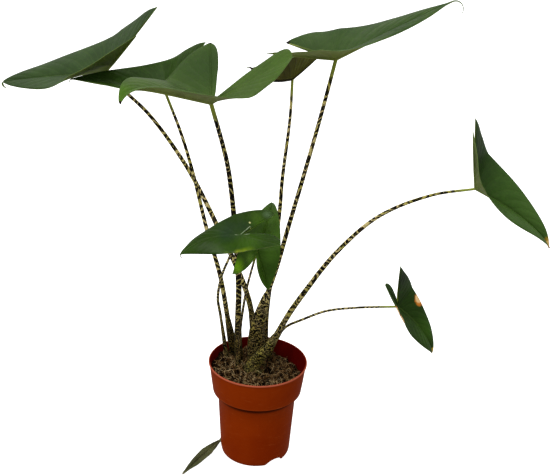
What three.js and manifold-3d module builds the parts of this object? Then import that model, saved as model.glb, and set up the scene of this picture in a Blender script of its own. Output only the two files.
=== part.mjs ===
// A potted alocasia with zebra-marked stalks: a nursery pot, its soil, and ten leaves, each a stalk and an
// arrow-shaped blade. Millimetres, +Z up. The origin is on the surface under the middle of the pot, and the
// front of the plant looks along -Y.
import * as THREE from "three";
import { mergeVertices } from "three/addons/utils/BufferGeometryUtils.js";
import Module from "manifold-3d";

const wasm = await Module();
wasm.setup();

// Pot
const potHeight = 148;
const rimRadius = 70;
const beadHeight = 3.2;
const beadDepth = 1.2;
const collarBottom = 103.6;
const collarBottomRadius = 63.5;
const shoulderDrop = 2.5;
const bodyTopRadius = 56;
const bodyLowRadius = 50.4;
const bodyLow = 8;
const footRadius = 46;
const wall = 1.8;
const floorTop = 2.2;
const potSides = 72;

// Three arched drain notches through the corner of the foot
const notchCount = 3;
const notchTurn = -54;
const notchWidth = 30;
const notchHeight = 9.5;
const notchInner = 34;
const notchDepth = 24;
const notchStart = -4;
const notchCurve = 6;

// Soil: its level at the middle, its fall from left to right, and its lumps
const soilLevel = 129;
const soilFall = -0.125;
const soilLump = 2.2;
const moundHeight = 4;
const moundCentre = [-12, 26];
const moundRadius = 30;
const soilEdge = 64;
const soilRings = 9;
const soilSides = 40;

// Clearance between pieces that touch, and the depth that stalks reach into the soil
const seat = 0.3;
const rootDepth = 26;
const rootLean = 0.86;

// Blades
const bladeThickness = 1.0;
const frontColumns = 9;
const backColumns = 6;
const outerRows = 3;
const innerRows = 2;
const tailSteps = 3;
const midribSteps = 40;
const tailTaper = 0.72;
const belly = 0.022;

// How full the blade's edges are: the handles of its curves as shares of the spans that they sit on
const tipHandle = { back: 0.2, out: 0.36 };
const wideHandle = { front: 0.34, back: 0.25 };
const lobeHandle = 0.42;
const innerHandles = { near: 0.14, far: 0.6, slack: 0.02 };
const tipHalfWidth = { least: 1, share: 0.008, more: 12 };
const apexShare = 0.055;

// Columns are closer together near the junction than at the tip
const midribCrowding = 1.3;
const lobeCrowding = 1.2;

// Stalks, and how far up the holes are cut for them
const stalkSides = 10;
const stalkSteps = 24;
const holeTop = 46;
const holeSlack = 0.4;
const sheathCurve = 0.6;

const radians = THREE.MathUtils.degToRad;
const vector = (list) => new THREE.Vector3(...list);

// Each leaf: where its blade meets its stalk, where the tip points (heading from +X, pitch and roll in
// degrees), the length from the junction to the tip, and the rest as shares of that length or as angles.
//   lobe: length of the back lobes, spread: their angle off the line straight back, width: half the blade
//   ahead: how far in front of the junction the blade is widest, lead: what each half adds to that
//   fold: how far each half (left, right) is raised about the midrib, wing: each lobe about its own crease
//   droop: how far the midrib bends down, late: how much of that is left to the tip
//   tail, hook: length and bend of the drip tip, inner, outer, lift: fullness of each half's edges
//   long: each lobe's length against the usual one, swell: how far out its inner edge is fullest
//   rounded, blunt: how round the ends of each lobe and of each half's front are
//   stalk: hand-set points from the soil up, radius: above the sheath and at the blade
//   sheath: how much wider and deeper the stalk is at the soil, reach: how high the sheath goes
//   short: how far before the junction the stalk stops, apex: how far back the notch between the lobes starts
const leaves = [
  {
    name: "leaf_1", junction: [-220, 88, 533], heading: 156, pitch: -10, roll: -18, length: 175,
    lobe: 0.7, spread: 31, width: 0.35, ahead: 0.08, fold: [26, 23], wing: [23, 27],
    droop: 5, late: 1.3, tail: 15, hook: 160, inner: [0.13, 0.13], outer: [0.09, 0.19], lift: [-0.1, -0.02],
    blunt: [0, 0.06], rounded: [0.15, 0],
    stalk: [[-6, 46, 128], [-9, 48, 181], [-21, 50, 234], [-65, 59, 331], [-106, 67, 409], [-157, 77, 478],
      [-190, 83, 508]],
    radius: [4.6, 2.1], sheath: [2.6, 2.6], reach: 70,
  },
  {
    name: "leaf_2", junction: [-132, 32, 524], heading: 169, pitch: 3, roll: -11, length: 126,
    lobe: 0.73, spread: 36, width: 0.36, ahead: 0.08, fold: [30, 38], wing: [35, 43],
    droop: 0, late: 1.3, tail: 11, hook: 95, inner: [0.12, 0.12], outer: [0.1, 0.23], lift: [0.02, 0.01],
    stalk: [[-34, 37, 131], [-44, 36, 186], [-57, 35, 261], [-77, 34, 334], [-96, 33, 415], [-112, 33, 470]],
    radius: [4.1, 1.8], sheath: [3.2, 2], reach: 62,
  },
  {
    name: "leaf_3", junction: [-65, -100, 549], heading: 227, pitch: 19, roll: 15, length: 146,
    lobe: 0.76, spread: 55, width: 0.41, ahead: 0.1, fold: [2, 25], wing: [50, 39],
    droop: 80, late: 8, tail: 3, hook: 55, inner: [0.51, 0.3], outer: [0.25, 0.29], lift: [0.04, 0.11],
    lead: [-0.08, 0.07], long: [0.98, 0.94], swell: [0.63, 0.21], rounded: [0.08, 0.08],
    stalk: [[-27, 21, 130], [-30, 14, 199], [-30, 2, 264], [-38, -30, 383], [-45, -55, 452], [-51, -70, 486]],
    radius: [4.8, 2.5], sheath: [1.7, 1.7], reach: 70,
  },
  {
    name: "leaf_4", junction: [33, 70, 539], heading: 233, pitch: 3, roll: 11, length: 91,
    lobe: 0.65, spread: 29, width: 0.38, ahead: 0.06, fold: [59, 46], wing: [2, 9],
    droop: -39, late: 1.6, tail: 9, hook: 60, inner: [0.11, 0.12], outer: [0.11, 0.1], lift: [0, 0.01],
    stalk: [[10, 47, 126], [9, 48, 159], [11, 50, 212], [16, 52, 265], [23, 57, 353], [25, 60, 401],
      [32, 66, 486]],
    radius: [4.2, 1.8], sheath: [1.6, 1.6], reach: 60,
  },
  {
    name: "leaf_5", junction: [85, 10, 581], heading: -20, pitch: 32, roll: 0, length: 162,
    lobe: 0.54, spread: 33, width: 0.35, ahead: 0.05, fold: [30, 21], wing: [25, 24],
    droop: 2, late: 1.4, tail: 24, hook: 146, inner: [-0.1, 0.14], outer: [0.36, 0.14], lift: [-0.06, -0.15],
    long: [0.89, 1],
    stalk: [[-2, 21, 128], [-3, 19, 186], [3, 19, 218], [22, 18, 288], [34, 16, 343], [54, 14, 431],
      [71, 12, 510]],
    radius: [3.9, 2.4], sheath: [10.6, 4], reach: 118, short: 1.2,
  },
  {
    name: "leaf_6", junction: [265, -60, 440], heading: -6, pitch: -26, roll: 21, length: 128,
    lobe: 0.73, spread: 36, width: 0.39, ahead: -0.03, fold: [31, 42], wing: [49, 48],
    droop: 33, late: 1.95, tail: 1.5, hook: 40, inner: [0.12, 0.13], outer: [0.11, 0], lift: [0.16, -0.09],
    blunt: [0, 0.14],
    stalk: [[-10, 3, 127], [-1, 3, 147], [11, 2, 163], [26, 0, 192], [41, -1, 224], [59, -2, 256],
      [100, -9, 323], [152, -23, 384], [214, -43, 423]],
    radius: [5.0, 1.5], sheath: [6.5, 2.2], reach: 62,
  },
  {
    name: "leaf_7", junction: [185, -40, 261], heading: 4, pitch: -38, roll: 24, length: 98,
    lobe: 0.68, spread: 30, width: 0.36, ahead: 0.07, fold: [28, 18], wing: [39, 24],
    droop: 37, late: 1.2, tail: 2, hook: 40, inner: [0.02, 0.5], outer: [0.07, -0.03], lift: [0.11, -0.07],
    blunt: [0.03, 0.08], rounded: [0, 0.08], long: [1, 0.98],
    stalk: [[15, 32, 126], [18, 27, 146], [27, 18, 175], [37, 11, 196], [61, -4, 218], [91, -12, 236],
      [131, -24, 249]],
    radius: [2.1, 1.4], sheath: [1.4, 1.4], reach: 60,
  },
  {
    name: "leaf_8", junction: [-27, -95, 382], heading: 191, pitch: 2, roll: -21, length: 82,
    lobe: 0.69, spread: 35, width: 0.37, ahead: 0.07, fold: [-2, 9], wing: [15, -1],
    droop: 57, late: 1.35, tail: 9, hook: 89, inner: [0.62, 0.04], outer: [-0.03, 0.41], lift: [-0.04, -0.05],
    blunt: [0.02, -0.02], rounded: [-0.08, 0.4], long: [0.98, 1.01], swell: [-0.06, 0.25],
    stalk: [[-45, 28, 133], [-50, 22, 171], [-55, 9, 215], [-58, -6, 247], [-53, -28, 289], [-42, -56, 331]],
    radius: [2.3, 1.5], sheath: [1.2, 1.2], reach: 60,
  },
  {
    name: "leaf_9", junction: [-6, -70, 349], heading: 68, pitch: 41, roll: 27, length: 87,
    lobe: 0.66, spread: 31, width: 0.33, ahead: 0.1, fold: [35, 16], wing: [6, -48],
    droop: 42, late: 1.55, tail: 4, hook: 60, inner: [0.26, 0.32], outer: [0.02, 0.09], lift: [-0.04, 0.01],
    rounded: [0.2, 0],
    stalk: [[-29, 6, 130], [-27, 1, 162], [-26, -9, 200], [-23, -21, 237], [-18, -37, 280]],
    radius: [2.1, 1.4], sheath: [1.6, 1.6], reach: 60,
  },
  {
    name: "leaf_10", junction: [-52.4, 8.2, 3.4], heading: -120.5, pitch: -1, roll: 0, length: 93,
    lobe: 0.02, spread: 70, width: 0.095, ahead: 0.42, fold: [12, 16], wing: [0, 0], apex: 0.01,
    droop: -1, late: 1.5, tail: 3, hook: 0, inner: [0.1, 0.1], outer: [0.1, 0.1], lift: [0, 0],
    stalk: [[2, 56, 127], [0, 61, 145], [-1, 67, 151], [-3, 74, 150], [-5, 79, 140], [-9, 80, 100],
      [-16, 78, 50], [-27, 66, 9], [-37, 44.5, 2.6], [-45.5, 27, 2.6], [-49.8, 17.5, 2.6]],
    radius: [2.0, 1.6], sheath: [0, 0], reach: 20, short: 2,
  },
];

// Mesh and solid helpers

function geometryOf(points, faces) {
  const geometry = new THREE.BufferGeometry();
  geometry.setAttribute("position", new THREE.Float32BufferAttribute(points.flatMap((p) => p.toArray()), 3));
  geometry.setIndex(faces.flat());
  return geometry;
}

function toSolid(geometry) {
  const bare = geometry.clone();
  for (const name of Object.keys(bare.attributes)) if (name !== "position") bare.deleteAttribute(name);
  const merged = mergeVertices(bare, 1e-4);
  return new wasm.Manifold(new wasm.Mesh({
    numProp: 3,
    vertProperties: new Float32Array(merged.attributes.position.array),
    triVerts: new Uint32Array(merged.index.array),
  }));
}

function fromSolid(solid) {
  const mesh = solid.getMesh();
  const geometry = new THREE.BufferGeometry();
  geometry.setAttribute("position", new THREE.Float32BufferAttribute(mesh.vertProperties, 3));
  geometry.setIndex(Array.from(mesh.triVerts));
  return geometry;
}

// Pot: one turned wall with a beaded rim, a tapering collar, a shoulder and a straight body on a foot ring

const collarRadiusAt = (z) => THREE.MathUtils.mapLinear(
  z, collarBottom, potHeight - beadHeight, collarBottomRadius, rimRadius - beadDepth);
const bodyRadiusAt = (z) => THREE.MathUtils.mapLinear(
  z, bodyLow, collarBottom - shoulderDrop, bodyLowRadius, bodyTopRadius);
const wallRadiusAt = (z) => bodyRadiusAt(z) - wall;

function potGeometry() {
  const top = potHeight;
  const profile = [
    [0, 0],
    [footRadius, 0],
    [footRadius + 1.6, 1.2],
    [bodyLowRadius, bodyLow],
    [bodyTopRadius, collarBottom - shoulderDrop],
    [collarBottomRadius - 0.6, collarBottom - 0.4],
    [collarBottomRadius, collarBottom],
    [rimRadius - beadDepth, top - beadHeight],
    [rimRadius - 0.1, top - beadHeight + 0.5],
    [rimRadius, top - beadHeight / 2],
    [rimRadius - 0.5, top - 0.4],
    [rimRadius - 1.3, top],
    [rimRadius - 2.2, top - 0.3],
    [collarRadiusAt(top - beadHeight) - wall, top - beadHeight],
    [collarRadiusAt(collarBottom + wall) - wall, collarBottom + wall],
    [bodyRadiusAt(collarBottom - shoulderDrop) - wall, collarBottom - shoulderDrop + wall],
    [bodyRadiusAt(bodyLow) - wall, bodyLow],
    [footRadius, floorTop],
    [0, floorTop],
  ];
  const turned = new THREE.LatheGeometry(profile.map(([r, z]) => new THREE.Vector2(r, z)), potSides);
  turned.rotateX(Math.PI / 2);
  return turned;
}

// A notch is an arch in the foot, cut from the outside in towards the middle
function notchGeometry(turn) {
  const arch = new THREE.Shape();
  const half = notchWidth / 2;
  arch.moveTo(-half, notchStart);
  arch.lineTo(half, notchStart);
  arch.bezierCurveTo(half, notchHeight * 0.75, half * 0.6, notchHeight, 0, notchHeight);
  arch.bezierCurveTo(-half * 0.6, notchHeight, -half, notchHeight * 0.75, -half, notchStart);
  const cutter = new THREE.ExtrudeGeometry(
    arch, { depth: notchDepth, bevelEnabled: false, curveSegments: notchCurve });
  cutter.rotateX(Math.PI / 2);
  cutter.rotateZ(Math.PI / 2);
  cutter.translate(notchInner, 0, 0);
  cutter.rotateZ(radians(turn));
  return cutter;
}

// The pot and the soil are both cut back by the notches
function cutNotches(whole) {
  let solid = whole;
  for (let i = 0; i < notchCount; i++) {
    solid = solid.subtract(toSolid(notchGeometry(notchTurn + (i * 360) / notchCount)));
  }
  return solid;
}

// Soil: fills the pot up to a lumpy surface that is higher at the left

function soilHeight(x, y) {
  const lumps = Math.sin(x * 0.21 + 1.3) * Math.cos(y * 0.17 - 0.6) + 0.6 * Math.sin(x * 0.43 - y * 0.37);
  const away = Math.hypot(x - moundCentre[0], y - moundCentre[1]) / moundRadius;
  const mound = moundHeight * Math.exp(-(away ** 2));
  return soilLevel + soilFall * x + mound + soilLump * lumps;
}

function makeSoil() {
  const points = [];
  const faces = [];
  const ring = (radius, height) => {
    const start = points.length;
    for (let i = 0; i < soilSides; i++) {
      const turn = (i / soilSides) * 2 * Math.PI;
      const x = radius * Math.cos(turn);
      const y = radius * Math.sin(turn);
      points.push(new THREE.Vector3(x, y, typeof height === "number" ? height : height(x, y)));
    }
    return start;
  };
  // The upper edge follows the sloping wall, wider where the soil is higher
  const brim = () => {
    const start = ring(soilEdge, soilHeight);
    for (const p of points.slice(start)) {
      const scale = (collarRadiusAt(p.z) - wall - seat) / Math.hypot(p.x, p.y);
      p.set(p.x * scale, p.y * scale, p.z);
    }
    return start;
  };
  const join = (low, high) => {
    for (let i = 0; i < soilSides; i++) {
      const next = (i + 1) % soilSides;
      faces.push([low + i, low + next, high + next], [low + i, high + next, high + i]);
    }
  };
  const shoulder = collarBottom - shoulderDrop + wall;
  const side = [
    ring(footRadius - 1, floorTop + seat),
    ring(wallRadiusAt(bodyLow) - seat, bodyLow + seat),
    ring(wallRadiusAt(collarBottom - shoulderDrop) - seat, shoulder + seat),
    ring(collarRadiusAt(collarBottom + wall) - wall - seat, collarBottom + wall + 2 * seat),
    brim(),
  ];
  for (let i = 1; i < side.length; i++) join(side[i - 1], side[i]);
  let outer = side[side.length - 1];
  for (let k = soilRings - 1; k >= 1; k--) {
    const inner = ring((soilEdge * k) / soilRings, soilHeight);
    join(outer, inner);
    outer = inner;
  }
  points.push(new THREE.Vector3(0, 0, soilHeight(0, 0)), new THREE.Vector3(0, 0, floorTop + seat));
  const top = points.length - 2;
  const bottom = points.length - 1;
  for (let i = 0; i < soilSides; i++) {
    const next = (i + 1) % soilSides;
    faces.push([outer + i, outer + next, top], [side[0] + next, side[0] + i, bottom]);
  }
  return toSolid(geometryOf(points, faces));
}

// Blades

// The blade's own directions: forward along the midrib, left, and up out of its upper face
function leafFrame(leaf) {
  const [heading, pitch, roll] = [leaf.heading, leaf.pitch, leaf.roll].map(radians);
  const forward = new THREE.Vector3(
    Math.cos(heading) * Math.cos(pitch), Math.sin(heading) * Math.cos(pitch), Math.sin(pitch));
  const left = new THREE.Vector3(-Math.sin(heading), Math.cos(heading), 0).applyAxisAngle(forward, roll);
  const up = new THREE.Vector3().crossVectors(forward, left);
  return { forward, left, up };
}

// Points of a line that bends down in the forward-up plane as it goes
function bentLine(start, forward, up, length, angleAt, steps) {
  const points = [start.clone()];
  let at = start.clone();
  for (let i = 0; i < steps; i++) {
    const angle = angleAt((i + 0.5) / steps);
    at = at.clone()
      .addScaledVector(forward, (Math.cos(angle) * length) / steps)
      .addScaledVector(up, (-Math.sin(angle) * length) / steps);
    points.push(at);
  }
  return points;
}

const mix = (a, b, t) => a.clone().lerp(b, t);
const alongLine = (points, t) => {
  const x = Math.min(Math.max(t, 0), 1) * (points.length - 1);
  const i = Math.min(Math.floor(x), points.length - 2);
  return mix(points[i], points[i + 1], x - i);
};

// The ribs and edges of one half of a blade, as curves of t; side is 1 on the left and -1 on the right
function halfCurves(leaf, side) {
  const { forward, left, up } = leafFrame(leaf);
  const pick = (pair) => pair[side > 0 ? 0 : 1];
  const [blunt, swell, rounded] = [leaf.blunt, leaf.swell, leaf.rounded].map((pair) => pick(pair ?? [0, 0]));
  const size = leaf.length;
  const droop = radians(leaf.droop);
  const origin = new THREE.Vector3();
  const midrib = bentLine(origin, forward, up, size, (t) => droop * t ** leaf.late, midribSteps);
  const tip = midrib[midrib.length - 1];
  const tipForward = forward.clone().multiplyScalar(Math.cos(droop)).addScaledVector(up, -Math.sin(droop));
  const tipUp = up.clone().multiplyScalar(Math.cos(droop)).addScaledVector(forward, Math.sin(droop));
  const tail = bentLine(tip, tipForward, tipUp, leaf.tail, (t) => radians(leaf.hook) * t, tailSteps * 3);

  const lobeOf = (s) => {
    const which = s > 0 ? 0 : 1;
    const fold = radians(leaf.fold[which]) * s;
    const spread = radians(leaf.spread);
    const ahead = leaf.ahead + (leaf.lead ?? [0, 0])[which];
    const wide = forward.clone().multiplyScalar(ahead * size).addScaledVector(left, leaf.width * size * s);
    const lobe = forward.clone().multiplyScalar(-Math.cos(spread)).addScaledVector(left, Math.sin(spread) * s)
      .multiplyScalar(leaf.lobe * (leaf.long ?? [1, 1])[which] * size);
    wide.applyAxisAngle(forward, fold);
    lobe.applyAxisAngle(forward, fold);
    lobe.applyAxisAngle(wide.clone().normalize(), radians(leaf.wing[which]) * s);
    return { wide, lobe, ahead };
  };
  const { wide, lobe, ahead } = lobeOf(side);
  const back = lobe.clone().normalize().add(lobeOf(-side).lobe.normalize()).normalize();
  const apex = back.clone().multiplyScalar((leaf.apex ?? apexShare) * size);
  const lateral = wide.clone().addScaledVector(forward, -ahead * size);
  const edgeWay = lobe.clone().sub(tip).normalize();
  const rise = new THREE.Vector3().crossVectors(forward, lateral).normalize()
    .multiplyScalar(side * pick(leaf.lift) * size);
  const tipWidth = lateral.clone().addScaledVector(tipForward, -lateral.dot(tipForward)).normalize()
    .multiplyScalar((tipHalfWidth.least + tipHalfWidth.share * size) * (1 + tipHalfWidth.more * blunt));
  const depth = Math.cos(radians(leaf.spread)) * leaf.lobe * size;

  const frontEdge = new THREE.CubicBezierCurve3(
    tip.clone().add(tipWidth),
    tip.clone().addScaledVector(tipForward, -tipHandle.back * size)
      .addScaledVector(lateral, tipHandle.out + blunt).addScaledVector(rise, 0.5),
    wide.clone().addScaledVector(edgeWay, -wideHandle.front * size).add(rise),
    wide);
  const backEdge = new THREE.CubicBezierCurve3(
    wide,
    wide.clone().addScaledVector(edgeWay, wideHandle.back * wide.distanceTo(lobe)),
    mix(lobe, wide, lobeHandle - rounded)
      .addScaledVector(lateral.clone().normalize(), pick(leaf.outer) * leaf.width * size),
    lobe);
  const innerEdge = new THREE.CubicBezierCurve3(
    apex,
    apex.clone().addScaledVector(lobe, innerHandles.near)
      .addScaledVector(back, (pick(leaf.inner) - swell) * depth),
    lobe.clone().multiplyScalar(innerHandles.far + rounded / 2)
      .addScaledVector(back, (pick(leaf.inner) - innerHandles.slack + swell) * depth),
    lobe);
  return { midrib, tail, tipWidth, lobe, frontEdge, backEdge, innerEdge, size };
}

// Rows of points across one half: first from the drip tip to the junction, then out along the lobe
function halfGrids(leaf, side) {
  const c = halfCurves(leaf, side);
  const { up } = leafFrame(leaf);
  const across = (rib, edge, rows, raise) => {
    const row = [];
    const chord = edge.clone().sub(rib).normalize();
    const lift = up.clone().addScaledVector(chord, -up.dot(chord)).normalize();
    for (let j = 0; j <= rows; j++) {
      const t = j / rows;
      row.push(mix(rib, edge, t).addScaledVector(lift, raise * 4 * t * (1 - t)));
    }
    return row;
  };
  const full = belly * c.size;
  const outer = [];
  const inner = [];
  for (let k = tailSteps; k >= 1; k--) {
    const rib = alongLine(c.tail, k / tailSteps);
    const edge = rib.clone().addScaledVector(c.tipWidth, 1 - (tailTaper * k) / tailSteps);
    outer.push(across(rib, edge, outerRows, 0));
  }
  for (let i = 0; i <= frontColumns; i++) {
    const t = i / frontColumns;
    const rib = alongLine(c.midrib, (1 - t) ** midribCrowding);
    outer.push(across(rib, c.frontEdge.getPoint(t), outerRows, full * Math.sin(Math.PI * Math.min(t, 0.75))));
  }
  for (let i = 1; i <= backColumns; i++) {
    const t = i / backColumns;
    const rib = c.lobe.clone().multiplyScalar(t ** lobeCrowding);
    const last = i === backColumns;
    const edge = last ? c.lobe.clone() : c.backEdge.getPoint(t);
    outer.push(across(rib, edge, outerRows, full * 0.8 * (1 - t)));
    inner.push(across(rib, last ? c.lobe.clone() : c.innerEdge.getPoint(t), innerRows, full * 0.6 * (1 - t)));
  }
  inner.unshift(across(new THREE.Vector3(), c.innerEdge.getPoint(0), innerRows, 0));
  return { outer, inner };
}

// One surface sheet for the whole blade, its triangles facing up out of the upper face
function bladeSheet(leaf) {
  const points = [];
  const faces = [];
  const patch = (grid, flip) => {
    const start = points.length;
    const wide = grid[0].length;
    for (const row of grid) points.push(...row);
    for (let i = 0; i + 1 < grid.length; i++) {
      for (let j = 0; j + 1 < wide; j++) {
        const a = start + i * wide + j;
        const [b, c, d] = [a + 1, a + wide + 1, a + wide];
        const pair = [[a, b, c], [a, c, d]];
        for (const [p, q, r] of pair) faces.push(flip ? [p, r, q] : [p, q, r]);
      }
    }
  };
  for (const side of [1, -1]) {
    const { outer, inner } = halfGrids(leaf, side);
    patch(outer, side < 0);
    patch(inner, side > 0);
  }
  const sheet = mergeVertices(geometryOf(points, faces), 1e-3);
  const kept = [];
  const index = sheet.index.array;
  for (let i = 0; i < index.length; i += 3) {
    const [a, b, c] = [index[i], index[i + 1], index[i + 2]];
    if (a !== b && b !== c && c !== a) kept.push(a, b, c);
  }
  sheet.setIndex(kept);
  sheet.computeVertexNormals();
  return sheet;
}

// The sheet given its thickness: an upper and a lower copy with the same triangles, joined round the edge
function thicken(sheet, thickness) {
  const place = sheet.attributes.position;
  const normal = sheet.attributes.normal;
  const count = place.count;
  const points = [];
  for (const offset of [thickness / 2, -thickness / 2]) {
    for (let i = 0; i < count; i++) {
      const out = new THREE.Vector3().fromBufferAttribute(normal, i).multiplyScalar(offset);
      points.push(new THREE.Vector3().fromBufferAttribute(place, i).add(out));
    }
  }
  const faces = [];
  const edges = new Map();
  const index = sheet.index.array;
  for (let i = 0; i < index.length; i += 3) {
    const face = [index[i], index[i + 1], index[i + 2]];
    faces.push(face, [face[0] + count, face[2] + count, face[1] + count]);
    face.forEach((from, k) => {
      const to = face[(k + 1) % 3];
      if (edges.has(`${to},${from}`)) edges.delete(`${to},${from}`);
      else edges.set(`${from},${to}`, [from, to]);
    });
  }
  for (const [from, to] of edges.values()) {
    faces.push([to, from, from + count], [to, from + count, to + count]);
  }
  return geometryOf(points, faces);
}

function makeBlade(leaf) {
  return toSolid(thicken(bladeSheet(leaf), bladeThickness).translate(...leaf.junction));
}

// Stalks

// The stalk's line: from its foot in the soil, up through the hand-set points, to the junction of the blade
function stalkPath(leaf) {
  const line = leaf.stalk.map(vector);
  const foot = new THREE.Vector3(line[0].x * rootLean, line[0].y * rootLean, line[0].z - rootDepth);
  const end = vector(leaf.junction);
  const last = line[line.length - 1];
  end.lerp(last, (leaf.short ?? 0) / end.distanceTo(last));
  return new THREE.CatmullRomCurve3([foot, ...line, end], false, "centripetal");
}

const heightOn = (leaf, at) => at.z - leaf.stalk[0][2];

// The stalk's half width and half depth at a share of its length and a height above the soil
function stalkSize(leaf, share, height) {
  const [low, high] = leaf.radius;
  const round = THREE.MathUtils.lerp(low, high, share);
  const sheath = Math.min(Math.max(1 - height / leaf.reach, 0), 1) ** sheathCurve;
  return leaf.sheath.map((extra) => round + extra * sheath);
}

// A closed tube along a line, its rings level with +X, and its size given at each share of the length. It
// can stop after some of the steps, and start a little before the line does
function tubeGeometry(path, sizeAt, rings = stalkSteps, early = 0) {
  const points = [];
  const faces = [];
  for (let i = 0; i <= rings; i++) {
    const share = i / stalkSteps;
    const along = path.getTangentAt(share);
    const centre = path.getPointAt(share).addScaledVector(along, i === 0 ? -early : 0);
    const wide = new THREE.Vector3(1, 0, 0).addScaledVector(along, -along.x).normalize();
    const deep = new THREE.Vector3().crossVectors(along, wide);
    const [halfWidth, halfDepth] = sizeAt(share, centre);
    for (let k = 0; k < stalkSides; k++) {
      const turn = (k / stalkSides) * 2 * Math.PI;
      points.push(centre.clone()
        .addScaledVector(wide, Math.cos(turn) * halfWidth)
        .addScaledVector(deep, Math.sin(turn) * halfDepth));
    }
  }
  for (let i = 0; i < rings; i++) {
    for (let k = 0; k < stalkSides; k++) {
      const a = i * stalkSides + k;
      const b = i * stalkSides + ((k + 1) % stalkSides);
      faces.push([a, b, b + stalkSides], [a, b + stalkSides, a + stalkSides]);
    }
  }
  const middleOf = (i) => mix(points[i * stalkSides], points[i * stalkSides + stalkSides / 2], 0.5);
  points.push(middleOf(0), middleOf(rings));
  const [start, end] = [points.length - 2, points.length - 1];
  const lastRing = rings * stalkSides;
  for (let k = 0; k < stalkSides; k++) {
    const next = (k + 1) % stalkSides;
    faces.push([start, next, k], [end, lastRing + k, lastRing + next]);
  }
  return geometryOf(points, faces);
}

// The stalk ends a hair under the blade: a thicker copy of the blade is cut off its upper end
function makeStalk(leaf) {
  const path = stalkPath(leaf);
  const tube = tubeGeometry(path, (share, at) => stalkSize(leaf, share, heightOn(leaf, at)));
  const cover = thicken(bladeSheet(leaf), bladeThickness + 3.4 * seat).translate(...leaf.junction);
  const pieces = toSolid(tube).subtract(toSolid(cover)).decompose();
  return pieces.sort((a, b) => b.volume() - a.volume())[0];
}

// The plain hole that a stalk stands in: its own foot, a little wider and deeper
function makeHole(leaf) {
  const path = stalkPath(leaf);
  const rings = Math.ceil((holeTop / path.getLength()) * stalkSteps);
  const sizeAt = (share, at) => stalkSize(leaf, share, heightOn(leaf, at)).map((r) => r + holeSlack);
  return toSolid(tubeGeometry(path, sizeAt, rings, seat));
}

// Assembly

const finishes = {
  pot: { color: 0xa8431f, roughness: 0.55, metalness: 0 },
  soil: { color: 0x4b3b2a, roughness: 1, metalness: 0 },
  stalk: { color: 0x8d8a55, roughness: 0.5, metalness: 0 },
  blade: { color: 0x33592c, roughness: 0.4, metalness: 0 },
  withered: { color: 0x6b6a35, roughness: 0.7, metalness: 0 },
};

const plant = new THREE.Group();

function place(name, solid, finish) {
  const mesh = new THREE.Mesh(fromSolid(solid), new THREE.MeshStandardMaterial(finishes[finish]));
  mesh.name = name;
  plant.add(mesh);
}

const pot = cutNotches(toSolid(potGeometry()));
let soil = cutNotches(makeSoil());
for (const leaf of leaves) soil = soil.subtract(makeHole(leaf));

place("pot", pot, "pot");
place("soil", soil, "soil");
leaves.forEach((leaf) => {
  const withered = leaf.name === "leaf_10";
  place(`${leaf.name}_stalk`, makeStalk(leaf), withered ? "withered" : "stalk");
  place(`${leaf.name}_blade`, makeBlade(leaf), withered ? "withered" : "blade");
});

export default plant;
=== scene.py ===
import bisect
import math
import random

import bmesh
import bpy
from mathutils import Matrix, Quaternion, Vector, noise


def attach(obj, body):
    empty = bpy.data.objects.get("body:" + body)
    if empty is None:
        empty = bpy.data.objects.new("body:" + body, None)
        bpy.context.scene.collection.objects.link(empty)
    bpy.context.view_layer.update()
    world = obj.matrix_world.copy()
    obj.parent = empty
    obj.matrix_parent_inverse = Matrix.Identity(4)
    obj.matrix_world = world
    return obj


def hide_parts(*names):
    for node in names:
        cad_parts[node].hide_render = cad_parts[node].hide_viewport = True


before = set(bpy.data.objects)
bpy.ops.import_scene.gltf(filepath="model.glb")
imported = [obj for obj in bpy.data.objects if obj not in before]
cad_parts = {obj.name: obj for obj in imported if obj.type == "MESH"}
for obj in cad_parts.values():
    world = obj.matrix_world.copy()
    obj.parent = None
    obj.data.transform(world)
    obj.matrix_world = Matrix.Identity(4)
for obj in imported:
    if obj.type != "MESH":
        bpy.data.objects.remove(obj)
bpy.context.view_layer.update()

mm = 0.001
scene = bpy.context.scene
scene.view_settings.view_transform = "Standard"
scene.view_settings.look = "Medium High Contrast"  # the photograph's deep shadows


# Camera: the photograph's own view, from in front and well above

cameraView = {
    "aim": (0, 0, 148),  # the middle of the pot's rim
    "distance": 1400,
    "above": 30.48,  # degrees from the aim up to the camera
    "turn": 0.82,
    "down": 23.3,
    "roll": 2.3,
    "lens": 63.95,
    "sensor": 36,
}


def makeCamera(look):
    above = math.radians(look["above"])
    turn, down, roll = (math.radians(look[name]) for name in ("turn", "down", "roll"))
    place = Vector(look["aim"]) + look["distance"] * Vector((0, -math.cos(above), math.sin(above)))
    forward = Vector((math.sin(turn) * math.cos(down), math.cos(turn) * math.cos(down), -math.sin(down)))
    right = Vector((math.cos(turn), -math.sin(turn), 0))
    up = right.cross(forward)
    tilt = Quaternion(forward, -roll)
    right.rotate(tilt)
    up.rotate(tilt)
    data = bpy.data.cameras.new("camera")
    data.lens, data.sensor_width = look["lens"], look["sensor"]
    data.clip_start, data.clip_end = 0.05, 60
    camera = bpy.data.objects.new("camera", data)
    scene.collection.objects.link(camera)
    camera.matrix_world = Matrix.Translation(place * mm) @ Matrix((right, up, -forward)).transposed().to_4x4()
    scene.camera = camera


makeCamera(cameraView)
print("camera ready")


# Shader writing: a Wire is one socket, and arithmetic on it adds Math nodes

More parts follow.
